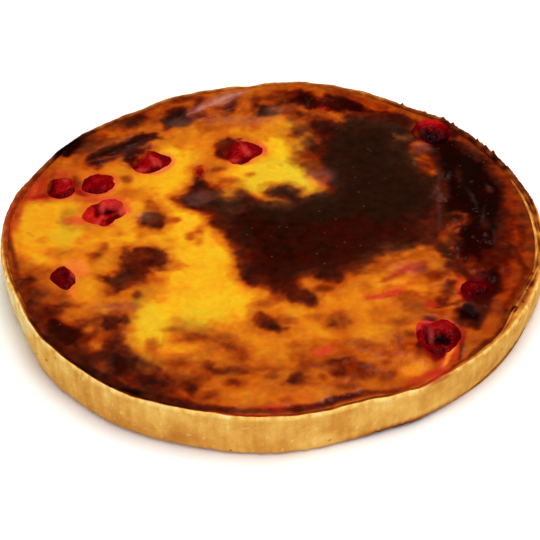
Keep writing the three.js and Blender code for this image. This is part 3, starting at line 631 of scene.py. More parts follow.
# Browned and burnt blotches, from the left round by the front, then the right and the back.
BLOTCHES = (
    (46, 5, (
        (-74, -15), (-68, -13), (-65, -13), (-62, -12), (-58, -14), (-54, -15), (-52, -22), (-51, -28),
        (-54, -30), (-60, -31), (-61, -35), (-63, -41), (-70, -45), (-76, -49), (-79, -50), (-79, -44),
        (-83, -40), (-84, -36), (-79, -34), (-73, -31), (-74, -25), (-74, -20),
    )),
    (48, 4.5, ((-67, 12), (-65, 16), (-60, 19), (-57, 16), (-53, 10), (-55, 5), (-57, 2), (-62, 2), (-67, 4))),
    (100, 4, ((-66, 18), (-66, 26), (-63, 28), (-60, 22), (-59, 17)), (-51, 9, 4, 3, 0), (-41, -4, 2.4, 3.4, 0)),
    (94, 5, ((-92, -20), (-91, -24), (-87, -24), (-84, -20), (-83, -13), (-85, -9), (-87, -13))),
    (72, 4, (-88, -20, 2.4, 3.4, 0), (-79, -48, 2.4, 3, 0), (-66, -51, 2.6, 3, 0)),
    (128, 5, (-76, 32, 8, 4, 0), (-66, -4, 2, 3, 0), (-78, -2.5, 3, 1.5, 0), (-37, -9, 2, 3, 0)),
    (132, 6, (-104, 11, 4, 8, 0), (-105, -18, 7, 5, 0), (-56, -40, 4, 4, 0), (-48, -28, 4, 3, 0)),
    (50, 7, (
        (-124, -38), (-116, -38), (-113, -52), (-104, -60), (-104, -66), (-92, -74), (-86, -80), (-88, -90),
        (-78, -92), (-77, -78), (-82, -72), (-80, -66), (-75, -63), (-70, -68), (-71, -84), (-66, -93),
        (-60, -100), (-50, -108), (-46, -116), (-42, -126), (-60, -126), (-80, -114), (-96, -102),
        (-110, -82), (-120, -62),
    )),
    (18, 5, ((-108, -70), (-103, -69), (-98, -74), (-92, -77), (-90, -82), (-92, -90), (-98, -88), (-104, -82))),
    (42, 4, ((-81, -72), (-80, -67), (-76, -65), (-72, -70), (-74, -76), (-79, -75))),
    (100, 4, ((-85, -88), (-84, -82), (-81, -79), (-79, -84), (-80, -90))),
    (22, 5, ((-76, -100), (-74, -94), (-68, -96), (-63, -102), (-67, -108), (-71, -109))),
    (32, 4, ((-62, -112), (-60, -108), (-54, -109), (-54, -115), (-58, -117)), (-88, -97, 8, 3, -40)),
    (66, 4, (-80, -104, 5, 3.4, -40), (-69, -113, 4, 2, -20), (-58, -104, 6, 3, -20)),
    (98, 5, (-76, -59, 9, 3, 0), (-104, -52, 5, 5, 0)),
    (44, 4.5, ((-43, -117), (-41, -113), (-37, -112), (-33, -116), (-35, -120), (-36, -124), (-40, -121))),
    (74, 5, ((-42, -78), (-36, -78), (-28, -81), (-30, -84), (-36, -83), (-41, -81))),
    (76, 5, (
        (-26, -85), (-19, -87), (-16, -91), (-11, -94), (-10, -98), (-14, -98), (-18, -96), (-21, -92),
        (-22, -88),
    )),
    (66, 5, (
        (-37, -106), (-34, -101), (-30, -99), (-26, -103), (-19, -102), (-12, -105), (-9, -108),
        (-14, -109), (-24, -109), (-32, -109),
    )),
    (54, 3, (-31, -104, 2.4, 2, 0)),
    (72, 4, ((-3, -106), (0, -103), (3, -104), (3, -110), (0, -112), (-2, -109)), (-18, -115, 4.5, 2.4, 0)),
    (80, 5, ((5, -116), (8, -107), (13, -105), (17, -110), (16, -115), (20, -114), (12, -117))),
    (44, 4, ((7, -114), (9, -108), (12, -107), (14, -110), (12, -115), (9, -116))),
    (50, 4.5, ((-7, -64), (-5, -63), (-2, -68), (3, -71), (7, -76), (4, -79), (-2, -77), (-6, -76), (-8, -70))),
    (70, 5.5, ((26, -67), (30, -67), (33, -72), (31, -75), (28, -74), (26, -70))),
    (124, 5, (23, -92, 4, 6, 0), (-86, -76, 3, 3, 0), (-82, -89, 3, 3, 0)),
    (100, 5, (15, -90, 3, 4, 0), (2, -54, 4, 3, 0), (38, -86, 8, 3, 0), (7, -126, 3, 2, 0)),
    (68, 6, (
        (24, -101), (28, -97), (35, -95), (40, -95), (41, -100), (47, -102), (50, -107), (46, -109),
        (40, -112), (34, -109), (30, -112), (26, -107),
    )),
    (46, 4, (30, -99, 4.5, 1.8, 5), (30, -106, 2.8, 2.8, 0), (41, -106, 3.4, 3.4, 0)),
    (80, 4, (52, -101, 2.4, 2.4, 0), (52, -109, 3, 3, 0), (15, -99, 1.6, 3, 0), (23, -110, 2, 2, 0), (33, -116, 5, 3, 0)),
    (48, 4, ((70, -88), (86, -86), (83, -93), (79, -98), (75, -99), (72, -94))),
    (112, 3, ((84, -86), (90, -82), (87, -92), (83, -100), (79, -104), (76, -101), (82, -93))),
    # The first group is a painted highlight streak down the torn flap of cherry H.
    (172, 2, (83, -92, 1.3, 6, -28), (80, -100, 0.8, 3, -30)), (112, 3, (75, -107, 8, 2.4, 30)),
    (66, 5, ((62, -78), (66, -77), (70, -82), (72, -90), (68, -94), (66, -88), (62, -86))),
    (36, 3, (69.5, -88, 2, 3.4, 0)),
    (100, 5, (-126, 37, 4, 14, -22)), (104, 5, (-131, 16, 2.6, 14, -6)), (98, 4, (-119, 38, 4, 8, -10)),
    (92, 3, (-121, 29, 8, 2.0, 8)), (70, 3, (-101, 34, 4, 1.6, -35)), (76, 3, (-116, 38, 1, 7, -6)),
    (168, 5, ((-104, -24), (-94, -24), (-91, -30), (-93, -36), (-97, -43), (-95, -50), (-98, -49), (-100, -40))),
    (40, 5, (
        (84, -15), (88, -14), (92, -20), (94, -29), (102, -35), (98, -41), (92, -38), (89, -31), (87, -25), (85, -20),
    )),
    (56, 4, ((76, -62), (83, -61), (92, -57), (94, -53), (88, -54), (82, -58))),
    (70, 5, (24, -46, 4, 2.4, 0), (-66, -42, 7, 2.6, 20), (60, -86, 3, 5, 0)),
    (70, 4, ((-80, -66), (-76, -63), (-70, -64), (-68, -70), (-69, -76), (-71, -70), (-73, -66), (-77, -65))),
    (104, 5, (-45, -77, 6, 2, 0), (-5, -57, 5, 4, 0), (8, -70, 5, 3, 0), (20, -67, 4, 3, 0)),
    (82, 5, (33, -68, 3, 5, 0), (-5, -104, 10, 2.6, 0), (-33, -110, 4, 5, 0), (-42, -101, 9, 2.6, 0), (18, -104, 8, 3, 0)),
    (70, 5, (72, -30, 4, 4, 0), (-34, -83, 9, 2.4, 0), (0, -109, 4, 2, 0), (-28, -123, 4, 2.4, 0)),
    (116, 5, (-56, -89, 4, 6, 0), (-98, -69, 5, 2.4, -30)), (106, 5, (62, -71, 6, 4, 0), (13, -88, 7, 2.4, 0), (-8, 96, 3, 4, 0), (64, -16, 8, 3, 20), (-96, -64, 3, 3, 0)),
    (24, 4, (98, 86, 3, 5, 0)), (48, 4, (87, -41, 3, 3, 0), (80, -54, 3, 3, 0), (75, -69, 3, 2, 0), (87, -28, 3, 4, 0), (88, -71, 3, 4, 0)),
    (74, 5, ((74, -35), (78, -31), (84, -33), (88, -35), (84, -37), (80, -39), (76, -39)), (65, -55, 4, 4, 0)),
    (88, 6, ((62, -50), (72, -50), (78, -46), (76, -60), (84, -68), (74, -66), (62, -60)), (52, -28, 4, 5, 0)),
    (50, 4.5, (
        (82, -50), (82, -42), (85, -39), (88, -41), (88, -48), (86, -53), (84, -58), (79, -61), (75, -58),
        (80, -54),
    )),
    (158, 5, (51, -41, 3, 5, 0), (62, -41, 4, 3, 0), (69, -46, 5, 2, 0)), (104, 3, (66, -31, 8, 1.6, 30), (50, -52, 5, 1.6, 10)),
    (96, 3, (76, -58, 3, 2.4, 0), (60, -36, 6, 1.6, 30)),
    (104, 4, (96, -81, 4, 3, 0), (104, -69, 3, 4, 0), (84, -64, 4, 3, 20)),
    (38, 5, (
        (-99, 60), (-98, 66), (-90, 74), (-80, 81), (-70, 86.5), (-62, 86), (-61, 82), (-70, 76), (-77, 69),
        (-84, 62), (-92, 56), (-97, 56),
    )),
    (96, 5, (-104, 62, 3, 5, -10), (-76, 45, 3, 3.4, 20), (-56, 110, 3, 9, 40), (-96, 92, 8, 4, 40)),
    (128, 4, (-51, 75, 4, 1.8, -40), (-12, 49, 3, 2, 20)),
    # Dark brown beside the left sides of cherries A and B: partly burnt custard, partly painted shade.
    (28, 5, ((-80, 72), (-66, 75), (-68, 68), (-71, 62), (-75, 56), (-80, 60))),
    (36, 5, ((-31, 66), (-30, 75), (-26, 81), (-17, 82), (-20, 78), (-24, 70), (-25, 62), (-29, 64))),
    (60, 5, (-38, 105, 6, 3.4, 0), (-86, 64, 8, 2.4, 38)),
    (56, 4, (-102.5, 40, 2.4, 7, 8), (-84, 17.5, 3.4, 2.6, 0)),
    (100, 5, (-24, 43, 6, 3, 0), (-37, 0, 2.6, 3.6, 0), (-33, 107, 7, 3, 35)),
    (44, 7, ((-83, 99), (-80, 94), (-75, 93), (-71, 98), (-70, 104), (-73, 108), (-78, 105))),
    (30, 3, (-75, 100, 2.4, 4.6, -20)),
    (38, 7, (
        (-60, 98), (-58, 92), (-52, 92), (-45, 96), (-38, 104), (-44, 105), (-46, 110), (-50, 114),
        (-56, 112), (-59, 106),
    )),
    (22, 3, (-56, 101, 1.6, 5, -12), (-49, 106, 3, 4, 0)),
    (58, 4, (-51, 98, 4, 3, 0), (-49, 120, 8, 3, 25)),
    (46, 7, ((-31, 113), (-28, 108), (-25, 105), (-21, 108), (-20, 114), (-18, 121), (-22, 121), (-26, 116))),
    (44, 7, (
        (-9, 115), (-9, 104), (-4, 103), (2, 106), (5, 109), (9, 115), (8, 122), (6, 120), (-2, 117), (-5, 118),
    )),
    (30, 3, (-6, 110, 1.8, 5, -10)),
    (66, 4, (1, 111, 4, 2.4, 0), (5, 127, 5, 3, 0)),
    (26, 7, (
        (8, 128), (12, 130), (20, 127), (26, 123), (32, 126), (40, 124), (48, 120), (53, 112), (52, 107),
        (44, 106), (36, 109), (28, 113), (22, 111), (14, 114), (9, 116), (8, 122),
    )),
    (10, 6, (17, 120, 6, 5, -20), (45, 113, 10, 4.6, -35), (34, 111, 4, 3, 0)),
    (48, 6, (44, 104, 6, 4, 0), (51, 103, 5, 5, 0)),
    (56, 5, (2, 122, 10, 3, 10), (-10, 116, 2, 7, 0)),
    (64, 7, (11, 109, 5, 7, 0), (14, 88, 5, 5, 0)),
    (44, 6, ((52, 114), (60, 108), (70, 108), (73, 98), (60, 100), (52, 104))),
    (100, 4, ((25, 127), (27, 123), (30, 131), (22, 134)), (56, 118, 9, 3, -32), (76, 105, 6, 3, -40)),
    (48, 5, ((-37, 54), (-36, 46), (-36, 38), (-41, 38), (-40, 48), (-40, 54)), (-25, 76, 4, 6, 20)),
    (86, 4, (-29, 54, 3.6, 1.8, 20), (-17, 33, 3, 3.4, 0)),
)
# The outline of the big scorch, clockwise from its left tip, where it is half browned.
SCORCH_OUTLINE = (
    (-50, 27), (-47, 31), (-43, 35), (-40, 40), (-36, 42), (-30, 38), (-27, 36), (-26, 31), (-22, 28.5),
    (-14, 30), (-11, 29), (-7, 26), (0, 23), (5, 23), (8, 25), (3, 29), (-1, 31), (-3, 34), (-2, 37),
    (3, 35), (8, 37), (12, 35), (15, 29.5), (19, 29), (24, 32), (28, 35), (30, 42), (30, 50), (27, 55),
    (26, 66), (22, 74), (22, 80), (28, 84), (22, 92), (24, 98), (40, 96), (45, 100), (60, 102), (72, 104),
    (77, 96), (74, 86), (70, 80), (74, 72), (72, 62), (80, 52), (86, 47), (90, 40), (92, 28), (88, 16),
    (80, 8), (78, 2), (80, -6), (80, -10), (70, -10), (63, -13), (57, -16), (50, -22), (45, -29), (37, -33),
    (33, -40), (31, -42), (24, -37), (19, -36), (13, -38), (12, -42), (13.5, -46), (18, -50), (21, -52),
    (21, -57), (19, -59), (14, -57), (9, -56), (6, -51), (3, -50), (-1.5, -48), (-4, -44.5), (-10, -43),
    (-14.5, -39), (-16, -33), (-15.5, -23), (-17, -15), (-23, -9), (-26.5, -3), (-27.5, 1), (-29, 4.5), (-32, 5.5),
    (-32, 9), (-32, 13), (-35, 16.5), (-41, 19.5), (-46, 22),
)
# Inside it: paler or darker places, and the reddish brown strip along its right.
SCORCH_TONES = (
    (42, 7, (
        (70, 84), (84, 85), (92, 62), (93, 40), (94, 18), (97, 2), (91, -12), (82, -15), (76, -8), (77, 4),
        (82, 14), (86, 28), (83, 46), (74, 60), (70, 74),
    )),
    (42, 6, (-37, 28, 8, 8, 0), (-20, 20, 8, 6, 0), (-24, 8, 4, 6, 0), (15, -51, 5, 4, -40), (-8, -38, 6, 4, 0)),
    (62, 5, (2, 24, 7, 2, 0), (-23, 28, 4, 2, 0)),
    (34, 6, (54, 96, 22, 5, 0), (66, 92, 6, 5, -40), (27, 76, 4, 10, 0), (70, 62, 5, 4, 0)),
    (78, 5, ((66, 87), (69, 84), (74, 80), (70, 79), (66, 81)), (24, 80, 3, 4, 0)),
    (30, 5, (68, -4, 10, 4, 20), (70, 74, 4, 6, 0)),
    (44, 6, (68, -13, 9, 2.4, 12), (40, -32, 5, 3, -30)),
)
# The tan ribs and knobs between the scorch and the burnt band.
RIB_TONES = (
    (62, 4, ((74, 79), (83, 78), (83, 70), (84, 60), (87, 50), (86, 46), (81, 48), (81, 56), (75, 61), (74, 70))),
    (92, 3, (78.5, 76.5, 3, 2, 0), (77.5, 62.5, 2, 1.6, 0), (81, 65, 1.4, 2, 20), (84, 50, 1.4, 2.4, 0)),
    (36, 4, ((84, 48), (90, 46), (91, 30), (87, 22), (84, 24), (85, 38))),
    (62, 4, ((82, -9), (88, -10), (90, -4), (92, 3), (97, 8), (99, 14), (95, 16), (90, 9), (84, 2))),
    (78, 3, (86, -4, 2.6, 3.6, 0), (90, 2, 2, 2.6, 0)), (24, 4, (94, 11, 7, 3, 10), (92, -12, 2.6, 4, 0)),
    (30, 5, (86, 12, 3, 9, 0), (86, 27, 2, 4, 0)), (40, 4, (79, 4, 2, 2, 0), (80, -8, 2, 2, 0), (85, -15, 3, 3, 0)),
)
# The burnt band along the right: its brown border, then its black body and the pit below it.
BAND_TONES = (
    (36, 5, (
        (82, 84), (98, 83), (108, 72), (116, 58), (120, 44), (122, 20), (122, 0), (121, -14), (117, -28),
        (112, -46), (105, -58), (98, -75), (88, -74), (88, -64), (93, -57), (90, -48), (97, -40),
        (103, -31), (94, -31), (89, -22), (90, -10), (93, -2), (96, 4), (98, 16), (92, 14), (84, 9),
        (86, 30), (90, 42), (88, 54), (85, 66),
    )),
    (7, 5, (
        (86, 82), (99, 80), (103, 68), (111, 60), (115, 46), (118, 34), (117, 18), (115, 8), (112, 0),
        (110, -14), (102, -24), (98, -20), (94, -24), (92, -14), (95, -4), (97, 4), (100, 8), (100, 16),
        (94, 17), (88, 14), (87, 22), (92, 30), (91, 48), (88, 62), (87, 74),
    )),
    (40, 5, ((90, -49), (95, -43), (99, -37), (104, -35), (106, -44), (100, -47), (97, -53), (94, -53))),
    (14, 4, ((98, -26), (104, -30), (110, -28), (111, -46), (106, -54), (100, -57), (96, -52), (98, -47), (103, -40))),
    (6, 3, ((89, -70), (91, -62), (93, -58), (97, -60), (98, -66), (97, -71)), (108, -38, 2.4, 6, 0)),
    (60, 4, (100, -31, 3, 1.6, 0), (97, -27, 2, 1.6, 0), (119, -26, 2, 4, -20), (113, -32, 2, 2.4, 0)),
    (30, 4, (108, 6, 3, 4, 0), (98, 48, 1.6, 6, 0), (112, 35, 2, 2, 0)), (64, 4, (122, 22, 2.4, 14, -6)),
)
# Burnt streaks of the blisters and the rim: (tone, soft edge, from x, y, to x, y, half width).
STREAKS = (
    (6, 3, -110, 67, -105, 79, 2.6), (44, 2, -105, 82, -68, 114, 1.6), (20, 5, -93, 61, -69, 82, 3.6),
    (60, 2.5, -97, 60, -78, 68, 0.8), (110, 2.5, -39, 97, -31, 100, 1.4), (108, 2.5, -22, 103, -16, 111, 1.6),
    (34, 2.5, -107, -83, -86, -104, 2.6), (30, 2.5, -86, -104, -68, -117, 2.8), (8, 2.5, -67, -119, -58, -123, 2),
    (34, 3, -58, -123, -40, -128, 2.6), (40, 2.5, -40, -129, -18, -132.6, 2.2), (58, 2.5, -18, -133, 12, -133, 1.8),
    (44, 3, 10, -132, 26, -127.5, 2.4), (34, 3, 26, -126.5, 42, -121.5, 2.2), (56, 3, 42, -122, 60, -119, 1.4),
    (84, 2.5, 60, -119, 68, -114, 1.2), (60, 2.5, 84, -103, 96, -93, 1.4), (50, 2, 92, -96, 108, -78, 1.5), (46, 2, 107, -80, 114, -70, 1.0),
    (56, 2.5, 110, -72, 112, -60, 1.4), (56, 2.5, 112, -60, 119, -46, 1.4), (60, 2.5, 119, -46, 125, -30, 1.4), (60, 3, -135, 4, -124, -40, 1.4), (74, 4, 32, 130, 62, 113, 3.0),
    (66, 3, 122, 56, 128, 20, 2.4), (64, 3, 128, 20, 128, -14, 2.4), (40, 2.5, 121, -14, 124, -30, 1.6),
    (54, 2.5, 91, -78, 86, -98, 1.0), (84, 9, 40, -35, 80, -15, 0.8), (48, 3, 126, 4, 124, -16, 2.0), (62, 4, -40, 122, -44, 106, 2), (130, 2, -57, 86, -54, 84, 1.4),
    (94, 4, 16, -99, 52, -88, 1.6), (98, 4, 40, -97, 66, -91, 1.4), (98, 4, 46, -90, 68, -84, 1.2),
)
# Where the brown is reddish (below 0) or olive (above 0): (cast, soft edge, places).
CASTS = (
    (-0.9, 8, (123, 12, 4, 44, 0), (46, -102, 16, 9, 0)), (-0.9, 12, (108, -30, 14, 34, 8), (40, 117, 28, 9, -15), (-100, 98, 14, 8, 45)),
    (-0.5, 10, (60, -98, 26, 12, 0), (80, -50, 14, 20, 0), (60, -34, 12, 6, 30), (-96, -84, 10, 12, 30), (-40, 112, 30, 10, 20)),
    (-0.5, 10, (-112, 52, 12, 22, -30), (10, -42, 10, 8, 0), (0, -126, 50, 5, 0)),
    (1.0, 9, (58, 56, 28, 46, 8), (16, 33, 14, 6, 0), (-24, 24, 8, 10, 0), (20, 20, 30, 12, 0)),
    (0.8, 12, (6, 50, 16, 16, 0), (-10, 40, 9, 8, 0)), (0.45, 14, (-58, -76, 9, 15, 0), (-30, -60, 12, 8, 0)),
    (0.6, 8, (12, 84, 10, 16, 0), (62, -16, 12, 5, 20), (-50, 100, 8, 8, 30), (-2, 109, 6, 5, 0)),
    (0.6, 8, (-104, 4, 6, 20, 0), (-62, 12, 5, 5, 0), (-58, -100, 8, 8, 0), (-38, -74, 12, 6, 0)),
    (-0.6, 5, (78, 74, 6, 6, 0), (81, 56, 5, 12, 0)), (0.5, 6, (104, 55, 4, 18, -12), (112, 10, 4, 10, 0), (-62, -60, 6, 14, 0)),
)
# Pink juice that soaked out of the fruit, beside the ring round each cherry: (strength, edge, places).
JUICE_PLACES = (
    (0.80, 4, (-127, 36, 3, 15, -22)), (0.45, 4, (-131.5, 14, 2.6, 16, -6), (-132.5, -2, 1.6, 8, 0)), (1.0, 3, (-121, 29, 8, 2.2, 8), (-101, 34, 4, 1.8, -35)),
    (0.65, 4, (-120, 38, 3, 8, -10)), (0.6, 4, (-110, 50, 6, 2, 10)),
    (0.85, 3, (66, -31, 9, 1.8, 30), (50, -52, 6, 1.8, 10)), (0.7, 4, (76, -58, 3, 3, 0), (24, -92, 6, 3, 30), (92, -50, 4, 6, 0)),
    (1.0, 3, (75, -107, 8, 2.4, 30)), (0.7, 4, (66, -113, 6, 2, 30), (-86, 27, 12, 3, 0), (-97, 34, 5, 4, 0)),
    (0.55, 6, ((-104, -25), (-99, -23), (-94, -25), (-91, -30), (-93, -36), (-96, -42), (-99, -46), (-102, -40))),
    (0.55, 4, (-97, -47, 1.6, 4, 0)),
    (1.0, 3, ((70, -88), (86, -86), (83, -93), (79, -98), (75, -99), (72, -94))),
    (0.80, 3, ((84, -86), (90, -82), (87, -92), (83, -100), (79, -104), (76, -101), (82, -93))),
    # A painted highlight streak down the torn flap of cherry H, kept nearly free of juice.
    (0.15, 2, (83, -92, 1.3, 6, -28), (80, -100, 0.8, 3, -30)),
    (1.0, 4, ((90, -49), (95, -43), (99, -37), (104, -35), (108, -42), (104, -54), (97, -54), (93, -53))), (0.6, 3, (0, -131, 8, 2.5, 0), (-38, 52, 2, 6, 0), (91, -42, 2, 5, 0), (-100, 8, 6, 4, 0)),
)
# Beside these places no juice soaked out of the cherry.
JUICE_GAPS = ((-75, 8, 10, 9, 0), (-4, 62, 9, 8, 0))
# A dried greyish film where the skin lifted, and painted sheen and glints: (strength, soft edge, places).
FILM_AND_SHEEN_PLACES = (
    # Painted highlights along the back left ridge.
    (0.20, 5, (-30, 119, 15, 4, 36)), (0.44, 2, (-34, 114.5, 13, 0.9, 37), (-24, 122.5, 8, 0.9, 28)),
    # Painted sheen lines on the left blister and along the crease at the right.
    (0.05, 3, (-84, 79, 16, 0.8, 38), (-76, 73, 7, 0.7, 42), (86, 26, 0.5, 18, -4)),
    # Faint grey film with painted sheen on darker places.
    (0.06, 5, (-37, 28, 8, 6, 0), (-66, 12, 4, 4, 0), (-52, 97, 6, 4, 0), (80, 74, 5, 4, 0), (2, 110, 6, 4, 0)),
    (0.06, 6, (-76, -60, 8, 3, 0), (24, 46, 10, 8, 0), (-15, 100, 20, 5, 0), (66, -30, 8, 6, 0)),
    # Painted glints in the burnt band.
    (0.04, 2, (107, 12, 0.8, 5, -10), (112, 37, 0.8, 3, 20), (113, -32, 0.8, 3, 0), (103, 30, 0.7, 5, 12), (111, -4, 0.6, 4, 0)),
)
# How wet the skin looks, from 0, matt, to 1: (strength, soft edge, places).
WET_PLACES = (
    (0.0, 14, (34, 20, 50, 80, 0)), (0.4, 8, (104, 14, 18, 74, 0)), (0.5, 8, (-84, 70, 20, 11, 38)),
    (0.9, 8, (-34, 112, 20, 9, 36)),
    (0.9, 8, (-110, 40, 16, 16, 0), (-86, 18, 14, 14, 0), (78, -86, 12, 18, 0)), (0.3, 8, (30, 118, 30, 9, -15)),
    (0.7, 8, (-90, -84, 26, 22, -40), (0, -126, 60, 6, 0), (60, -50, 20, 14, 0)),
)


def clouds(x, y, patch, seed):
    """A smooth random pattern from about -1 to 1 in three sizes, each turned so that no grid shows."""
    total = np.zeros_like(x)
    for octave, share in enumerate((0.60, 0.34, 0.20)):
        turn = 0.7 + 1.1 * octave + seed
        size = patch / 2.1**octave
        across = (x * math.cos(turn) - y * math.sin(turn)) / size
        along = (x * math.sin(turn) + y * math.cos(turn)) / size
        total = total + share * mottle(across, along, seed * 10 + octave)
    return total


def cover(inside, edge):
    """How far a patch covers: half on its outline, whole half an edge further in."""
    return ease(-edge / 2, edge / 2, inside)


def inside_outline(x, y, outline):
    """The distance inside a closed outline, negative outside it."""
    away = np.full_like(x, 1e9)
    inside = np.zeros(x.shape, bool)
    for (x1, y1), (x2, y2) in zip(outline, outline[1:] + outline[:1]):
        away = np.minimum(away, to_segment(x, y, x1, y1, x2, y2))
        if y1 != y2:
            inside ^= ((y1 > y) != (y2 > y)) & (x < (x2 - x1) * (y - y1) / (y2 - y1) + x1)
    return np.where(inside, away, -away)


def as_seen(y, z):
    """Where a point shows on a flat sheet at the rim's height, looked at from the front, as the lists are."""
    return y + (z - WALL_HEIGHT) * SIGHT_SLOPE


def paint(field, skin, groups, halo=0):
    """Lays groups of (value, soft edge, places) over a field, the dark ones with a browned halo."""
    for value, edge, *places in groups:
        for place in places:
            if isinstance(place[0], tuple):
                corners = np.array(place)
                low = corners.min(0) - edge - 4
                high = corners.max(0) + edge + 4
                half = min(high - low) / 2 - edge - 4
            else:
                low = np.array(place[:2]) - max(place[2:4]) - edge - 4
                high = np.array(place[:2]) + max(place[2:4]) + edge + 4
                half = min(place[2:4])
            near = (skin["x"] > low[0]) & (skin["x"] < high[0]) & (skin["y"] > low[1]) & (skin["y"] < high[1])
            if not near.any():
                continue
            bend = min(1.0, 0.35 + half / 14)
            x = skin["x"][near] + bend * skin["bend_x"][near]
            y = skin["y"][near] + bend * skin["bend_y"][near]
            if isinstance(place[0], tuple):
                inside = inside_outline(x, y, place)
            else:
                inside = (1 - in_ellipse(x, y, *place)) * half
            ragged = skin["ragged"][near] * min(edge, half + 1) * 0.30
            if halo and value < 90:
                wash = 0.5 * cover(inside + 3.5 + ragged, 9.0)
                field[near] += np.minimum(0.0, halo - field[near]) * wash
            share = cover(inside + ragged, edge)
            field[near] += (value - field[near]) * share
    return field


def paint_strokes(field, skin, strokes):
    for value, edge, from_x, from_y, to_x, to_y, half in strokes:
        x = skin["x"] + 0.4 * skin["bend_x"]
        y = skin["y"] + 0.4 * skin["bend_y"]
        share = cover(half - to_segment(x, y, from_x, from_y, to_x, to_y) + 0.2 * edge * skin["ragged"], edge)
        field = field + (value - field) * share
    return field


def scorch_tone(skin, field):
    """The big scorch: brown within a few millimetres of its outline, then slowly black."""
    x = skin["x"] + skin["bend_x"]
    y = skin["y"] + skin["bend_y"]
    deep = inside_outline(x, y, SCORCH_OUTLINE) + 0.9 * skin["ragged"]
    burnt = np.interp(deep, [-6.0, -2.0, 0.0, 2.5, 7.0, 16.0], [1.0, 0.78, 0.40, 0.20, 0.09, 0.03])
    core = 14.0 + 3.0 * ease(0.0, 30.0, x)
    return np.where(deep > -6.0, core + (np.minimum(field, 168.0) - core) * burnt, field)


def paint_skin(x, y):
    """Tone, cast, juice, film with painted sheen, and gloss of the skin at every point."""
    bearing = np.arctan2(y, x)
    inward = inside_radius(bearing, WALL_HEIGHT) - np.hypot(x, y)
    skin = {
        "x": x, "y": y, "bend_x": 3.2 * clouds(x, y, 12.0, 3), "bend_y": 3.2 * clouds(x, y, 12.0, 4),
        "ragged": 1.1 * clouds(x, y, 6.0, 5),
    }
    tone = np.full_like(x, 142.0)
    ring = cover(by_bearing(bearing, RIM_WIDTHS) - inward + 4.0 * clouds(x, y, 14.0, 6), 16.0)
    tone = tone + (by_bearing(bearing, RIM_TONES) - tone) * ring
    tone = paint(tone, skin, GROUNDS)
    tone = paint(tone, skin, BLOTCHES, halo=112)
    tone = scorch_tone(skin, tone)
    tone = paint(tone, skin, SCORCH_TONES)
    tone = paint(tone, skin, BAND_TONES)
    tone = paint(tone, skin, RIB_TONES)
    tone = paint_strokes(tone, skin, STREAKS)
    middling = ease(18.0, 60.0, tone) * (1 - 0.68 * ease(112.0, 170.0, tone))
    tone = tone - 5.0 * middling
    tone = tone + middling * (21.0 * clouds(x, y, 14.0, 7) + 17.0 * clouds(x, y, 6.5, 8) + 9.0 * clouds(x, y, 3.0, 9))
    tone = tone + 9.0 * clouds(x, y, 5.0, 10) * ease(5.0, 14.0, tone) * ease(90.0, 40.0, tone)
    # Small orange puckers in the yellow.
    tone = tone - 20.0 * ease(0.25, 0.8, clouds(x, y, 9.0, 14)) * ease(125.0, 165.0, tone)
    cast = paint(np.full_like(x, -0.25), skin, CASTS) + 0.7 * clouds(x, y, 14.0, 11) + 0.35 * clouds(x, y, 5.0, 12)
    juice = paint(np.zeros_like(x), skin, JUICE_PLACES)
    juice = np.maximum(juice, cherry_ring(x + 0.4 * skin["bend_x"], y + 0.4 * skin["bend_y"]))
    film_and_sheen = paint(np.zeros_like(x), skin, FILM_AND_SHEEN_PLACES) * (1 + 0.8 * clouds(x, y, 3.0, 13))
    gloss = paint(np.full_like(x, 0.35), skin, WET_PLACES)
    return (
        np.clip(tone, 2.0, 198.0) / 200.0, np.clip(cast, -1, 1), np.clip(juice, 0, 1), np.clip(film_and_sheen, 0, 1), gloss,
    )


def cherry_ring(x, y):
    """The pink ring of juice round each cherry, strongest at its lower right."""
    ring = np.zeros_like(x)
    for middle_x, middle_y, half_x, half_y, turn, _, _ in CHERRIES:
        near = in_ellipse(x, y, middle_x, middle_y, half_x, half_y, turn)
        side = ((x - middle_x) * 0.77 - (y - middle_y) * 0.64) / np.maximum(np.hypot(x - middle_x, y - middle_y), 0.1)
        strength = (0.15 + 0.55 * ease(-0.3, 0.7, side)) * ease(4.5, 9.0, half_x)
        ring = np.maximum(ring, ease(1.20, 1.02, near) * strength)
    for place in JUICE_GAPS:
        ring = ring * (1 - bump(in_ellipse(x, y, *place)))
    return ring


def square_to_disc(u, v):
    """Spreads a square evenly over a disc, both from -1 to 1, as (reach, bearing)."""
    wide = np.abs(u) >= np.abs(v)
    longer = np.where(wide, u, v)
    safe = np.where(longer == 0, 1.0, longer)
    turn = np.where(wide, math.pi / 4 * v / safe, math.pi / 2 - math.pi / 4 * u / safe)
    return np.abs(longer), np.where(longer < 0, turn + math.pi, turn)


def custard_block():
    """A fine sheet for the skin, with its border drawn down in three steps and closed below."""
    bm = bmesh.new()
    bmesh.ops.create_grid(bm, x_segments=SKIN_CELLS, y_segments=SKIN_CELLS, size=1.0)
    border = [edge for edge in bm.edges if edge.is_boundary]
    for _ in range(3):
        drawn = bmesh.ops.extrude_edge_only(bm, edges=border)["geom"]
        bmesh.ops.translate(bm, verts=[v for v in drawn if isinstance(v, bmesh.types.BMVert)], vec=(0, 0, -1))
        border = [edge for edge in drawn if isinstance(edge, bmesh.types.BMEdge) and edge.is_boundary]
    bmesh.ops.contextual_create(bm, geom=border)
    bmesh.ops.recalc_face_normals(bm, faces=bm.faces[:])
    return bm


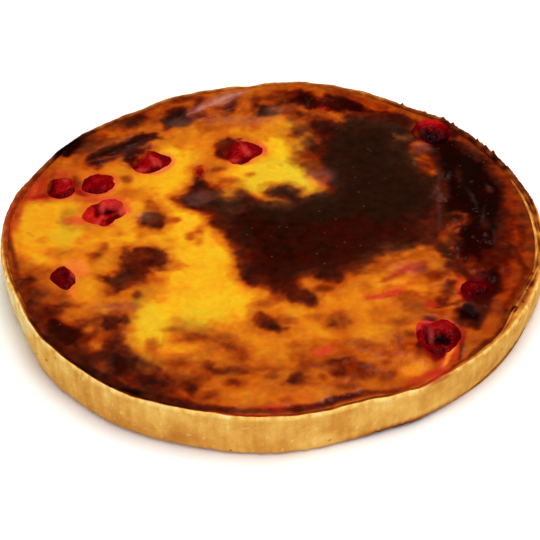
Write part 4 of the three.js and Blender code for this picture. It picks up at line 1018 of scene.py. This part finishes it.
def shape_custard(mesh):
    """Spreads the sheet over the case and bakes its relief."""
    u, v, level = mesh_arrays(mesh) * MM
    reach, bearing = square_to_disc(u, v)
    steps = np.rint(-level).astype(int)
    heights = np.array([0.0, WALL_INSIDE[2][0], WALL_INSIDE[1][0], FLOOR_THICKNESS + 0.1])[steps]
    wall = np.where(steps == 0, WALL_HEIGHT, heights)
    radius = reach * (inside_radius(bearing, wall) + 0.1)
    x = radius * np.cos(bearing)
    y = radius * np.sin(bearing)
    near = from_cherry(x, y)
    skin = skin_height(x, y) - CRATER_DEPTH * bump(near / CRATER_REACH)
    # Finer relief than the solid's: soft puckers, lifted lumps in the band, and a rise along the back rim.
    inward = np.maximum(0.0, inside_radius(bearing, WALL_HEIGHT) - radius)
    puckers = 0.30 * clouds(x, y, 8.0, 41) + 0.10 * clouds(x, y, 2.8, 42)
    band = bump(in_ellipse(x, y, 104, 14, 20, 80, 0))
    puckers = puckers * (1 + 0.9 * band)
    skin = skin + puckers * ease(0.0, 3.0, inward) + 0.9 * bump_at(bearing, 105, 60) * bump(inward / 6.0)
    z = np.where(steps == 0, skin, heights)
    tone, cast, juice, film_and_sheen, gloss = paint_skin(x, as_seen(y, skin))
    place_vertices(mesh, x, y, z)
    for name, values in (("tone", tone), ("cast", cast), ("juice", juice), ("film_and_sheen", film_and_sheen), ("gloss", gloss)):
        write_attribute(mesh, name, values)


PLAIN_BROWNING = (
    (0.00, (7, 1, 0)), (0.06, (27, 5, 1)), (0.14, (48, 15, 7)), (0.22, (77, 26, 10)), (0.335, (115, 43, 12)),
    (0.475, (155, 67, 13)), (0.615, (186, 94, 17)), (0.755, (213, 129, 19)), (0.895, (227, 168, 22)),
    (1.00, (233, 193, 34)),
)
RED_BROWNING = (
    (0.00, (10, 0, 0)), (0.14, (62, 9, 1)), (0.22, (94, 19, 2)), (0.30, (121, 31, 2)), (0.405, (150, 48, 3)),
    (0.545, (181, 74, 8)), (0.685, (209, 99, 14)), (0.85, (226, 130, 20)), (1.00, (232, 162, 30)),
)
OLIVE_BROWNING = (
    (0.00, (8, 3, 1)), (0.14, (40, 18, 9)), (0.22, (59, 31, 17)), (0.30, (85, 44, 20)), (0.405, (118, 61, 22)),
    (0.545, (153, 92, 22)), (0.685, (182, 126, 24)), (0.85, (208, 162, 30)), (1.00, (228, 196, 42)),
)
JUICE_COLOURS = (
    (0.00, (32, 1, 3)), (0.20, (87, 5, 6)), (0.45, (168, 24, 14)), (0.70, (214, 56, 40)), (1.00, (232, 92, 62)),
)
FILM_AND_SHEEN_COLOUR = (186, 142, 132)
SPECK_COLOUR = (113, 87, 72)


def custard_finish():
    finish, nodes, links, shader = new_finish("custard skin")
    tone = read_attribute(nodes, "tone")
    mottling = speckle(nodes, links, 3.0, 1.0, 4.0)
    grain = speckle(nodes, links, 0.9, 1.0, 3.0, 3.0)
    varied = sum_up(nodes, links, "MULTIPLY_ADD", sum_up(nodes, links, "SUBTRACT", mottling, 0.5), 0.12, 1.0)
    tone = sum_up(nodes, links, "MULTIPLY", tone, varied)
    varied = sum_up(nodes, links, "MULTIPLY_ADD", sum_up(nodes, links, "SUBTRACT", grain, 0.5), 0.08, 1.0)
    tone = sum_up(nodes, links, "MULTIPLY", tone, varied, clamp=True)
    cast = read_attribute(nodes, "cast")
    reddish = sum_up(nodes, links, "MULTIPLY", cast, -1.0, clamp=True)
    olive = sum_up(nodes, links, "MULTIPLY", cast, 1.0, clamp=True)
    colour = colour_scale(nodes, links, tone, PLAIN_BROWNING)
    colour = blend_colours(nodes, links, reddish, colour, colour_scale(nodes, links, tone, RED_BROWNING))
    colour = blend_colours(nodes, links, olive, colour, colour_scale(nodes, links, tone, OLIVE_BROWNING))
    juice = read_attribute(nodes, "juice")
    colour = blend_colours(nodes, links, juice, colour, colour_scale(nodes, links, tone, JUICE_COLOURS))
    # The greyish film and painted sheen.
    colour = blend_colours(nodes, links, read_attribute(nodes, "film_and_sheen"), colour, linear(*FILM_AND_SHEEN_COLOUR))
    # Pale specks of dried egg, a millimetre wide, on the scorch.
    scorched = sum_up(nodes, links, "LESS_THAN", read_attribute(nodes, "tone"), 0.13)
    pores = nodes.new("ShaderNodeTexVoronoi")
    pores.inputs["Scale"].default_value = 1 / (6.5 * MM)
    links.new(nodes.new("ShaderNodeTexCoord").outputs["Object"], pores.inputs["Vector"])
    specks = sum_up(nodes, links, "MULTIPLY_ADD", pores.outputs["Distance"], -9.0, 1.0, True)
    specks = sum_up(nodes, links, "MULTIPLY", sum_up(nodes, links, "MULTIPLY", specks, scorched), 0.45)
    colour = blend_colours(nodes, links, specks, colour, linear(*SPECK_COLOUR))
    links.new(colour, shader.inputs["Base Color"])
    gloss = read_attribute(nodes, "gloss")
    rough = sum_up(nodes, links, "MULTIPLY_ADD", gloss, -0.20, 0.62)
    rough = sum_up(nodes, links, "MULTIPLY_ADD", mottling, 0.15, rough)
    links.new(rough, shader.inputs["Roughness"])
    links.new(sum_up(nodes, links, "MULTIPLY", gloss, 0.055), shader.inputs["Coat Weight"])
    shader.inputs["Coat Roughness"].default_value = 0.15
    shader.inputs["Specular IOR Level"].default_value = 0.0
    roughen(nodes, links, shader, ((mottling, 0.20, 0.5), (grain, 0.25, 0.2)))
    return finish


custard = make_piece("baked_custard", custard_block(), custard_finish())
shape_custard(custard.data)
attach(custard, "root")
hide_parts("custard")

# ---- The cherries -------------------------------------------------------------------------------
# Twelve stoned cherries, dropped into the custard before baking. They are baked soft: flattened,
# puckered and a little square, with a dimple where the stem was. Some tore open round a dark hollow,
# and browned custard clings to a few. Each sits in its own hollow of the skin.

CHERRY_SQUARENESS = 2.5
CHERRY_DIMPLE = 1.2
DIMPLE_SPREAD = 0.3
CHERRY_WRINKLES = ((3, 0.03), (5, 0.02))
# Corners and flats of each cherry's outline: (bearing, spread, mm outwards).
CHERRY_LOBES = (
    ((5, 40, 1.6), (60, 40, -0.8), (-50, 55, -2.4), (215, 60, 1.2), (100, 30, 1.2)),
    ((8, 40, 0.3), (-45, 50, -4.0), (200, 60, 1.0), (-100, 40, 0.6)),
    ((50, 30, 2.0), (95, 40, 0.8), (-20, 50, -0.8)), ((60, 35, 1.8), (180, 50, -1.0)),
    ((70, 50, 2.4), (-40, 45, -4.2), (215, 50, 1.4), (-90, 16, 1.6)),
    ((98, 34, 1.4), (180, 50, 1.8), (-82, 30, 1.2), (-40, 30, -1.6), (20, 30, 0.6)),
    ((90, 60, 1.2),), ((130, 40, 1.4), (60, 40, 1.0), (-88, 40, 2.4), (95, 20, -1.6)),
    (), ((20, 40, 1.6), (215, 40, 1.6)), (), (),
)
# Where a cherry swelled up: (rise in mm, soft edge, places), in the same millimetres as the skin.
CHERRY_RISES = ((2.0, 7, (87, 97, 10, 6, 0)), (0.7, 5, (81, -74, 6, 5, 0), (70, -73, 3, 4, 0)))
# Hollows torn in the fruit: (depth in mm, soft edge, places).
CHERRY_HOLLOWS = (
    (1.3, 4, (-83.5, 17.5, 4.5, 3.2, 10), (-89.5, 19, 1.4, 7, 8)),
    (2.0, 5, (85, 86, 6, 4, 0),),
    (1.8, 5, (77.5, -82.5, 5.5, 4.5, -20)),
    (1.4, 4, (73, -78, 1.8, 4, 10), (101, -50, 4, 4, 0)),
)
# How ripe the red is, with painted light and shade, from 0, black, to 1, bright: (value, soft edge, places).
RIPENESS_AND_LIGHT = (
    # Lighter middles of cherries A and B, a painted highlight, and lighter places beside them.
    (0.66, 6, (-63, 61, 4, 7, 20), (-15, 72, 4, 7, 15), (-69, 54, 5, 4, 0), (-20, 63, 5, 4, 0), (-88, 49, 7, 3, -20)),
    # Painted shade down the left sides of cherries A and B, and darker places beside them.
    (0.34, 4, (-73, 61, 2.5, 8, 0), (-61, 53, 4, 3, 30), (-24, 72, 2.5, 8, 0), (-13, 62, 4, 3, 30), (-97, 44, 3, 6, 0)),
    (0.68, 5, (-108, 40, 6, 9, 0)), (0.88, 5, (-90, 9, 10, 5, 0), (-94, 13, 5, 8, 0), (-84, 24, 7, 3, 0)), (0.54, 5, (-91, 42, 7, 8, 0),), (0.38, 4, (-91, 33, 6, 4, 0), (-58, 67, 5, 3, -40)),
    (0.24, 4, (-114.5, 37, 1.6, 8, -6), (-103, 35, 3, 2, 0)), (0.36, 4, (-108, 30, 5, 3, 0),),
    (0.34, 3, (-89.5, 19, 1.4, 7, 8), (-81, 10, 6, 2.4, 40)), (0.20, 3, (-84, 17.5, 2.8, 2.2, 0)),
    (0.36, 4, (-102, -37, 10, 13, 0),),
    (0.22, 5, (87, 88, 14, 16, 0),), (0.48, 6, (87, 94, 11, 4, 0),), (0.80, 6, (86, 99, 9, 4.4, 0),),
    (0.62, 5, (81, -74, 6, 5, 0), (97, 88, 1.6, 4, 0)), (0.90, 3, (70, -73, 4, 3, 30),),
    (0.30, 5, (78, 85, 3, 6, 0), (92, 84, 5, 4, 0), (87, -82, 3, 6, 0), (73, -79, 2, 5, 0), (77, -93, 4, 5, 0)),
    # Near black in the torn hollows.
    (0.06, 5, (85, 86, 5, 4.4, 0), (78, -82.5, 5.5, 4, -20), (92, 79, 8, 4, 0)),
    (0.36, 6, (98, -45, 12, 12, 0),), (0.05, 4, (102, -50, 5, 4, 20),), (0.30, 6, (28, 116, 10, 8, 0),),
    (0.60, 3, (28, 111.5, 2.6, 2, 0),), (0.85, 5, (58, -48, 9, 6, 0),), (0.55, 4, (-38, 53, 8, 9, 0),),
)
# Torn pink flesh and painted highlight streaks, and browned custard that clings to the fruit: (strength, soft edge,
# places).
FLESH_AND_HIGHLIGHT_PLACES = (
    (0.28, 5, (-82, 22, 7, 6, 0),), (0.95, 3, (-75.5, 19, 2.2, 5, -10), (-97.5, -31, 1.6, 5, 10)),
    (0.0, 3, (-84, 17.5, 4.4, 3, 0),), (0.6, 2.5, (-87, 22, 1.0, 4, 0), (-88, 9, 1, 4, -20)),
    (0.85, 2.5, (67, -75, 1.8, 4, -20), (71, -70.5, 4, 1.6, 0)), (0.4, 2.5, (74.5, -79, 1, 5, 0), (57, -49, 6, 2, 25)),
    # Painted highlight streaks on cherries A and B.
    (0.45, 2, (-63, 62, 1.2, 5, 20), (-60, 60, 0.8, 3, 20), (-15, 72, 1.2, 5, 15), (-13, 70, 0.8, 3, 10)),
    (0.40, 2, (-69, 53, 3, 1.4, 0), (-21, 62, 3, 1.4, 0), (-108, 44, 1.6, 2, 0), (-88, 50, 3, 1.2, 0)),
)
CLINGING_AND_SHADE_PLACES = (
    # Down the left sides of cherries A and B: browned custard with painted shade.
    (0.92, 5, ((-80, 74), (-66, 74), (-69, 67), (-72, 61), (-76, 55), (-80, 58))),
    (0.92, 5, ((-31, 84), (-18, 84), (-22, 77), (-25, 70), (-27, 62), (-32, 64))),
    (0.95, 3, (-120, 38, 4, 12, -6)), (0.7, 3, (-106, -27, 3, 2, 0)),
    (0.97, 3, (-38, 53, 9, 10, 0), (58, -48, 11, 8, 0), (28, 116, 10, 10, 0)),
    (0.15, 3, (-38, 52, 2.0, 6, 0), (58, -49, 5, 2.2, 25), (28, 111.5, 3, 2, 0)),
    (0.5, 4, (76, 84, 3, 6, 0),),
)


def shape_cherry(mesh, cherry, order):
    """Squashes a ball to the solid's cherry, puckers its skin and opens its tears."""
    middle_x, middle_y, half_x, half_y, turn, half_height, sink = cherry
    px, py, pz = mesh_arrays(mesh) * MM
    plan = np.hypot(px, py)
    side = np.arctan2(py, px)
    wrinkle = 1 + sum(size * np.sin(count * side + order) for count, size in CHERRY_WRINKLES)
    power = CHERRY_SQUARENESS
    square = (plan**power + np.abs(pz) ** power) ** (-1 / power)
    reach = dent_sum(side + math.radians(turn), CHERRY_LOBES[order])
    dimple = np.where(pz > 0, CHERRY_DIMPLE * np.exp(-((plan / DIMPLE_SPREAD) ** 2)), 0.0)
    dx = px * square * wrinkle * (half_x + reach)
    dy = py * square * wrinkle * (half_y + reach)
    dz = pz * square * half_height - dimple
    c = math.cos(math.radians(turn))
    s = math.sin(math.radians(turn))
    x = middle_x + dx * c - dy * s
    y = middle_y + dx * s + dy * c
    top = ease(-0.1, 0.4, pz)
    z = skin_height(np.array([middle_x]), np.array([middle_y]))[0] - sink + dz
    sight = as_seen(y, z)
    fruit = {"x": x, "y": sight, "bend_x": clouds(x, y, 6.0, 51), "bend_y": clouds(x, y, 6.0, 52)}
    fruit["ragged"] = clouds(x, y, 3.0, 53)
    puckers = 0.55 * clouds(x, y, 5.5, 54) + 0.30 * clouds(x, 0.5 * y, 2.0, 55) - 0.3
    rise = paint(np.zeros_like(x), fruit, CHERRY_RISES) - paint(np.zeros_like(x), fruit, CHERRY_HOLLOWS)
    z = z + top * (puckers + rise)
    # The tallest are flattened a little, so that none stands above the solid's height.
    flat_from = cad_box[1][2] / MM - 1.6
    place_vertices(mesh, x, y, np.where(z > flat_from, flat_from + (z - flat_from) * 0.45, z))
    # Ripeness, with painted light and shade.
    ripe_and_light = paint(np.full_like(x, 0.52), fruit, RIPENESS_AND_LIGHT)
    ripe_and_light = ripe_and_light + 0.10 * clouds(x, y, 4.0, 56) + 0.06 * clouds(x, y, 1.8, 57) + 0.10 * np.minimum(puckers, 0.2)
    write_attribute(mesh, "ripe_and_light", np.clip(ripe_and_light, 0, 1))
    write_attribute(mesh, "flesh_and_highlight", np.clip(paint(np.zeros_like(x), fruit, FLESH_AND_HIGHLIGHT_PLACES), 0, 1))
    write_attribute(mesh, "clinging_and_shade", np.clip(paint(np.zeros_like(x), fruit, CLINGING_AND_SHADE_PLACES), 0, 1))
    write_attribute(mesh, "tone", paint_skin(x, sight)[0])


CHERRY_COLOURS = (
    (0.0, (9, 0, 1)), (0.2, (55, 0, 3)), (0.4, (98, 0, 3)), (0.55, (128, 3, 6)), (0.7, (157, 13, 15)),
    (0.85, (179, 21, 13)), (1.0, (202, 47, 34)),
)
FLESH_AND_HIGHLIGHT_COLOUR = (210, 62, 53)


def cherry_finish():
    finish, nodes, links, shader = new_finish("cherry")
    clots = speckle(nodes, links, 2.2, 1.0, 3.0)
    fine = speckle(nodes, links, 0.8, 1.0, 2.0)
    # Ripeness, with painted light and shade.
    ripe_and_light = read_attribute(nodes, "ripe_and_light")
    ripe_and_light = sum_up(nodes, links, "MULTIPLY_ADD", sum_up(nodes, links, "SUBTRACT", clots, 0.5), 0.40, ripe_and_light)
    ripe_and_light = sum_up(nodes, links, "MULTIPLY_ADD", sum_up(nodes, links, "SUBTRACT", fine, 0.5), 0.30, ripe_and_light)
    colour = colour_scale(nodes, links, ripe_and_light, CHERRY_COLOURS)
    # Torn flesh and painted highlight streaks.
    colour = blend_colours(nodes, links, read_attribute(nodes, "flesh_and_highlight"), colour, linear(*FLESH_AND_HIGHLIGHT_COLOUR))
    # Clinging custard, with painted shade on the left of cherries A and B.
    clinging_and_shade = colour_scale(nodes, links, read_attribute(nodes, "tone"), RED_BROWNING)
    colour = blend_colours(nodes, links, read_attribute(nodes, "clinging_and_shade"), colour, clinging_and_shade)
    links.new(colour, shader.inputs["Base Color"])
    rough = sum_up(nodes, links, "MULTIPLY_ADD", fine, 0.25, 0.30)
    links.new(rough, shader.inputs["Roughness"])
    shader.inputs["Specular IOR Level"].default_value = 0.0
    shader.inputs["Coat Weight"].default_value = 0.035
    shader.inputs["Coat Roughness"].default_value = 0.22
    roughen(nodes, links, shader, ((fine, 0.3, 0.3),))
    return finish


cherry_skin = cherry_finish()
for order, cherry in enumerate(CHERRIES):
    ball = bmesh.new()
    bmesh.ops.create_icosphere(ball, subdivisions=6 if cherry[2] > 8 else 5, radius=1.0)
    whole_cherry = make_piece(f"baked_cherry_{order + 1}", ball, cherry_skin)
    shape_cherry(whole_cherry.data, cherry, order)
    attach(whole_cherry, "root")
    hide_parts(f"cherry_{order + 1}")

# ---- Table, light and camera --------------------------------------------------------------------
# A white table top, a broad lamp overhead a little to the right, a soft light from the front, and the
# camera at the photograph's angle.

FLOOR_HALF = 3.0
FRAME_WIDTH = 36.0
LENS_LENGTH = 123.07
CAMERA_HEIGHT_ANGLE = 38.54
CAMERA_DISTANCE = 0.943
AIM = (-0.0012, -0.0027, 0.0)

floor_mesh = bpy.data.meshes.new("table_top")
table = bmesh.new()
bmesh.ops.create_grid(table, x_segments=1, y_segments=1, size=FLOOR_HALF)
table.to_mesh(floor_mesh)
table.free()
table_top = bpy.data.objects.new("table_top", floor_mesh)
bpy.context.scene.collection.objects.link(table_top)
paper, paper_nodes, paper_links, paper_shader = new_finish("white paper")
paper_shader.inputs["Base Color"].default_value = (0.99, 0.99, 0.99, 1)
paper_shader.inputs["Roughness"].default_value = 0.9
paper_shader.inputs["Specular IOR Level"].default_value = 0.0
floor_mesh.materials.append(paper)


def add_softbox(name, place, target, size, power):
    """A square soft light of so many watts, turned to its target."""
    lamp = bpy.data.lights.new(name, "AREA")
    lamp.shape = "SQUARE"
    lamp.size = size
    lamp.energy = power
    softbox = bpy.data.objects.new(name, lamp)
    softbox.location = place
    softbox.rotation_euler = (Vector(target) - Vector(place)).to_track_quat("-Z", "Y").to_euler()
    bpy.context.scene.collection.objects.link(softbox)


add_softbox("overhead", (0.2, -0.05, 1.4), (0, 0, 0), 1.0, 18.5)
add_softbox("front", (-0.3, -1.5, 0.8), (0, 0, 0), 1.4, 8.8)
add_softbox("sparkle", (0.15, 0.6, 0.9), (0, 0, 0), 0.15, 1.8)

studio = bpy.data.worlds.new("studio")
studio.use_nodes = True
studio.node_tree.nodes["Background"].inputs["Color"].default_value = (1, 1, 1, 1)
studio.node_tree.nodes["Background"].inputs["Strength"].default_value = 0.19
bpy.context.scene.world = studio

camera_data = bpy.data.cameras.new("camera")
camera_data.sensor_width = FRAME_WIDTH
camera_data.lens = LENS_LENGTH
camera = bpy.data.objects.new("camera", camera_data)
rise = math.radians(CAMERA_HEIGHT_ANGLE)
aim = Vector(AIM)
camera.location = aim + CAMERA_DISTANCE * Vector((0, -math.cos(rise), math.sin(rise)))
camera.rotation_euler = (aim - camera.location).to_track_quat("-Z", "Y").to_euler()
bpy.context.scene.collection.objects.link(camera)
bpy.context.scene.camera = camera
bpy.context.scene.view_settings.view_transform = "Standard"
bpy.context.scene.view_settings.look = "None"
